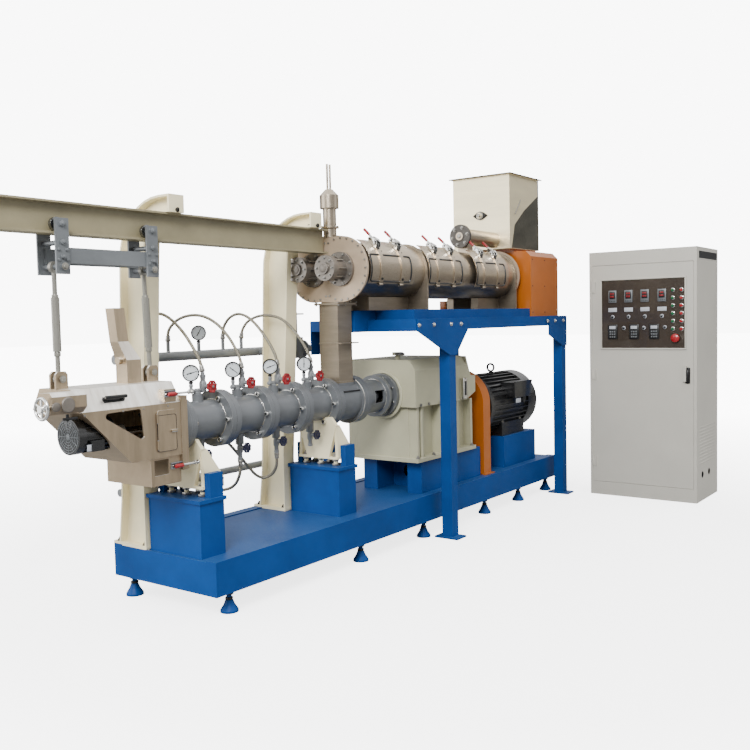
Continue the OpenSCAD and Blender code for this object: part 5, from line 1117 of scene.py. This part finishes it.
for y in panelRows["meters"]:
    low, high = panelRows["meterZ"]
    doorPlate(greyBm, 2, 10, y, 34, low, high, edge=3)
    doorPlate(darkBm, 9.5, 12, y, 24, low + 30, high - 12, edge=1)
    for line in range(2):
        for k in range(3):
            digitY, digitZ = y - 10.5 + k * 11, low + 42 + line * 24
            doorPlate(digitBm, 11.8, 12.8, digitY, 3.5, digitZ, digitZ + 14, edge=0.3)
    for k in range(4):
        keyY, keyZ = y - 21 + k * 14, low + 12
        rod(darkBm, (leafX - 9.5, keyY, keyZ), (leafX - 12, keyY, keyZ), 3.4, 10)
    doorPlate(stripBm, 2, 4, y, 36, *panelRows["labelZ"], edge=0.8)
for y, z in [(y, panelRows["knobZ"]) for y in panelRows["meters"]] + panelRows["lowKnobs"]:
    lathe(stripBm, (leafX - 2, y, z), (-1, 0, 0), [(0, 0), (15, 0), (15, 3), (12, 4), (0, 4)], 24)
    lathe(darkBm, (leafX - 6, y, z), (-1, 0, 0), [(0, 0), (9.5, 0), (9.5, 12), (7, 15), (0, 15)], 22)
    doorPlate(stripBm, 20.5, 22, y, 1.3, z, z + 9)
for y in panelRows["pads"]:
    low, high = panelRows["padZ"]
    doorPlate(darkBm, 2, 14, y, 40, low, high, edge=4)
    doorPlate(stripBm, 13.8, 15.2, y, 26, high - 36, high - 12, edge=0.5)
    for line in range(3):
        for k in range(3):
            keyY, keyZ = y - 18 + k * 18, low + 12 + line * 21
            doorPlate(greyBm, 13.8, 16.5, keyY, 6, keyZ, keyZ + 12, edge=1)
piece("meter_cases", greyBm, "cabinet_leaf", carriageGrey)
piece("meter_screens", darkBm, "cabinet_leaf", inkBlack)
piece("label_strips", stripBm, "cabinet_leaf", paleGrey)
piece("meter_digits", digitBm, "cabinet_leaf", buttonRed)

buttonSetup = {"rows": 6, "top": 1679, "step": 61, "greenY": -1420, "redY": -1488, "stop": (-1444, 1302),
               "bezel": [(0, 0), (17, 0), (17, 4), (14, 6), (12, 6), (12, 3), (0, 3)],
               "cap": [(0, 0), (12, 0), (12, 12), (9, 15), (0, 16)],
               "mushroom": [(0, 0), (16, 0), (16, 14), (31, 18), (34, 24), (31, 32), (18, 38), (0, 40)]}
greenBm, redBm, bezelBm = bmesh.new(), bmesh.new(), bmesh.new()
for k in range(buttonSetup["rows"]):
    z = buttonSetup["top"] - k * buttonSetup["step"]
    for y, target in ((buttonSetup["greenY"], greenBm), (buttonSetup["redY"], redBm)):
        lathe(bezelBm, (leafX - 2, y, z), (-1, 0, 0), buttonSetup["bezel"], 26)
        lathe(target, (leafX - 4, y, z), (-1, 0, 0), buttonSetup["cap"], 24)
lathe(redBm, (leafX - 2, *buttonSetup["stop"]), (-1, 0, 0), buttonSetup["mushroom"], 34)
piece("green_buttons", greenBm, "cabinet_leaf", buttonGreen)
piece("red_buttons", redBm, "cabinet_leaf", buttonRed)
piece("button_bezels", bezelBm, "cabinet_leaf", chromeSteel)

# Lock handle in its recess plate
handleSetup = {"y": (-1553, -1516), "z": (945, 1070), "gripY": (-1545, -1525), "gripZ": (962, 1052)}
bm = bmesh.new()
(y0, y1), (z0, z1) = handleSetup["y"], handleSetup["z"]
block(bm, (leafX - 7, y0, z0), (leafX, y1, z1), edge=8, segments=3)
(y0, y1), (z0, z1) = handleSetup["gripY"], handleSetup["gripZ"]
block(bm, (leafX - 24, y0, z0), (leafX - 6, y1, z1), edge=5)
piece("door_handle", bm, "cabinet_leaf", inkBlack)

# Louvres of both sides, and the near side's vent and cable rings
louvreSetup = {"count": 12, "low": 300, "step": 26, "height": 9, "inset": 70}
ventSetup = {"plateZ": (1915, 1990), "z": (1922, 1978), "rings": (150, 330), "ringZ": 210, "ring": 24}
bm = bmesh.new()
louvreZs = [louvreSetup["low"] + k * louvreSetup["step"] for k in range(louvreSetup["count"])]
left, right = cabLow.x + louvreSetup["inset"], cabHigh.x - louvreSetup["inset"]
for z in louvreZs:
    block(bm, (left, cabLow.y - 1.2, z), (right, cabLow.y + 2.8, z + louvreSetup["height"]), edge=1.1)
low, high = ventSetup["plateZ"]
block(bm, (cabLow.x + 45, cabLow.y - 0.8, low), (cabHigh.x - 25, cabLow.y + 0.5, high))
for z in louvreZs:
    block(bm, (left, cabHigh.y - 0.5, z), (right, cabHigh.y + 3.5, z + louvreSetup["height"]), edge=1.6)
piece("cabinet_louvres", bm, "frame", cabinetPaint)
bm = bmesh.new()
low, high = ventSetup["z"]
block(bm, (cabLow.x + 52, cabLow.y - 1.5, low), (cabHigh.x - 32, cabLow.y - 0.4, high))
for dx in ventSetup["rings"]:
    ring(bm, (cabLow.x + dx, cabLow.y + 1.7, ventSetup["ringZ"]), (0, -1, 0), ventSetup["ring"], 3.2, 28, 8)
piece("cabinet_vents", bm, "frame", inkBlack)
print("cabinet dressed")


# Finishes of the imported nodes; those in hidden are seen only as the pieces that replace them
sections = [f"barrel_section_{i}" for i in (1, 2, 3, 4)]
doors = [f"conditioner_door_{i}" for i in (1, 2, 3)]
finishGroups = [
    (bluePaint, ["skid_beams", "skid_deck", "levelling_feet", "barrel_pedestals", "drive_stands",
                 "platform_frame", "platform_legs", "conditioner_rails"]),
    (creamPaint, ["barrel_brackets", "rail_posts"]),
    (railPaintedShade, ["overhead_rail"]),
    (gearPaint, ["gearbox"]),
    (orangePaint, ["coupling_guard", "drive_housing"]),
    (motorBlack, ["main_motor", "cutter_motor"]),
    (barrelGrey, ["die_head", *sections, "feed_section", "coupling_lantern"]),
    (shaftSteel, ["screw_shaft", "trolley_wheels", "cutter_knives"]),
    (satinSteel, ["conditioner_shell", "vent_stack", "screw_feeder", *doors]),
    (plateSteel, ["conditioner_ends"]),
    (castSteel, ["conditioner_bearings"]),
    (chuteSteel, ["conditioner_saddles", "transfer_chute"]),
    (hopperSteel, ["feed_hopper"]),
    (hoodSteel, ["cutter_hood", "discharge_chute", "air_duct", "cutter_door"]),
    (pipeGrey, ["steam_manifold", "manifold_fittings", "drain_manifold"]),
    (carriageGrey, ["trolleys"]),
    (rodSteel, ["hanger_rods"]),
    (chromeSteel, ["cutter_handwheel"]),
    (cabinetPaint, ["control_cabinet", "cabinet_door"]),
    (innerSheet, ["cabinet_panel"]),
]
nodeFinish = {nodeName: finish for finish, names in finishGroups for nodeName in names}
hidden = {"steam_valves", "drain_valves", "pressure_gauges", "toggle_clamps", *hoseRoutes}
for nodeName, obj in cadNodes.items():
    finish = nodeFinish.get(nodeName, pipeGrey)
    if not obj.data.materials:
        obj.data.materials.append(finish)
    for index in range(len(obj.data.materials)):
        obj.data.materials[index] = finish
    if nodeName not in nodeFinish and nodeName not in hidden:
        print("no finish listed for", nodeName)
print("finishes given to", len(nodeFinish), "nodes")


# Floor and light: the camera sees both brighter than they light the machine
def cameraSees(tree, lit, shown, output):
    seen = addNode(tree, "ShaderNodeLightPath")
    either = addNode(tree, "ShaderNodeMixShader")
    tree.links.new(seen.outputs["Is Camera Ray"], either.inputs[0])
    tree.links.new(lit.outputs[0], either.inputs[1])
    tree.links.new(shown.outputs[0], either.inputs[2])
    tree.links.new(either.outputs[0], tree.nodes[output].inputs["Surface"])


# Pale floor that whitens with distance, in metres
floorSetup = {"size": 60, "reach": (2.5, 9.0), "glow": (3.2, 9.0), "paint": 0.95, "lit": 0.25}
floorBm = bmesh.new()
bmesh.ops.create_grid(floorBm, x_segments=1, y_segments=1, size=floorSetup["size"])
floorMesh = bpy.data.meshes.new("floor")
floorBm.to_mesh(floorMesh)
floorBm.free()
floor = bpy.data.objects.new("floor", floorMesh)
scene.collection.objects.link(floor)
floorPaint = bpy.data.materials.new("floorPaint")
floorPaint.use_nodes = True
floorTree = floorPaint.node_tree
floorShader = floorTree.nodes["Principled BSDF"]
floorShader.inputs["Base Color"].default_value = (*[floorSetup["paint"]] * 3, 1)
floorShader.inputs["Roughness"].default_value = 0.9
floorShader.inputs["Emission Color"].default_value = (1, 1, 1, 1)
floorPlace = addNode(floorTree, "ShaderNodeNewGeometry")
floorFar = addNode(floorTree, "ShaderNodeVectorMath", operation="LENGTH")
floorTree.links.new(floorPlace.outputs["Position"], floorFar.inputs[0])
floorGlow = remap(floorTree, floorFar.outputs["Value"], floorSetup["reach"], floorSetup["glow"])
floorTree.links.new(floorGlow, floorShader.inputs["Emission Strength"])
floorLit = addNode(floorTree, "ShaderNodeBsdfDiffuse", {"Color": (*[floorSetup["lit"]] * 3, 1)})
cameraSees(floorTree, floorLit, floorShader, "Material Output")
floorMesh.materials.append(floorPaint)

lightSetup = {
    "key": {"at": (-7.5, -3.0, 6.0), "size": 3.0, "power": 1000},
    "left": {"at": (-8.0, 6.5, 3.0), "size": 7.0, "power": 520},
    "fill": {"at": (5.0, -8.0, 2.4), "size": 4.0, "power": 70},
}
for name, setup in lightSetup.items():
    data = bpy.data.lights.new(name, "AREA")
    data.shape = "SQUARE"
    data.size = setup["size"]
    data.energy = setup["power"]
    lamp = bpy.data.objects.new(name, data)
    lamp.location = setup["at"]
    lamp.rotation_euler = (Vector((0, 0, 1.0)) - lamp.location).to_track_quat("-Z", "Y").to_euler()
    scene.collection.objects.link(lamp)

# Studio surround: dim at the horizon, brighter overhead
skySetup = {"height": (0.05, 0.7), "glow": (0.16, 2.0), "seen": 9.0}
world = scene.world or bpy.data.worlds.new("world")
scene.world = world
world.use_nodes = True
worldTree = world.node_tree
surround = worldTree.nodes["Background"]
surround.inputs["Color"].default_value = (1, 1, 1, 1)
worldPlace = addNode(worldTree, "ShaderNodeTexCoord")
worldSplit = addNode(worldTree, "ShaderNodeSeparateXYZ")
worldTree.links.new(worldPlace.outputs["Generated"], worldSplit.inputs[0])
sky = remap(worldTree, worldSplit.outputs["Z"], skySetup["height"], skySetup["glow"])
worldTree.links.new(sky, surround.inputs["Strength"])
backdrop = addNode(worldTree, "ShaderNodeBackground", {"Color": (1, 1, 1, 1), "Strength": skySetup["seen"]})
cameraSees(worldTree, surround, backdrop, "World Output")
print("stage lit;", pieceCount, "new pieces")
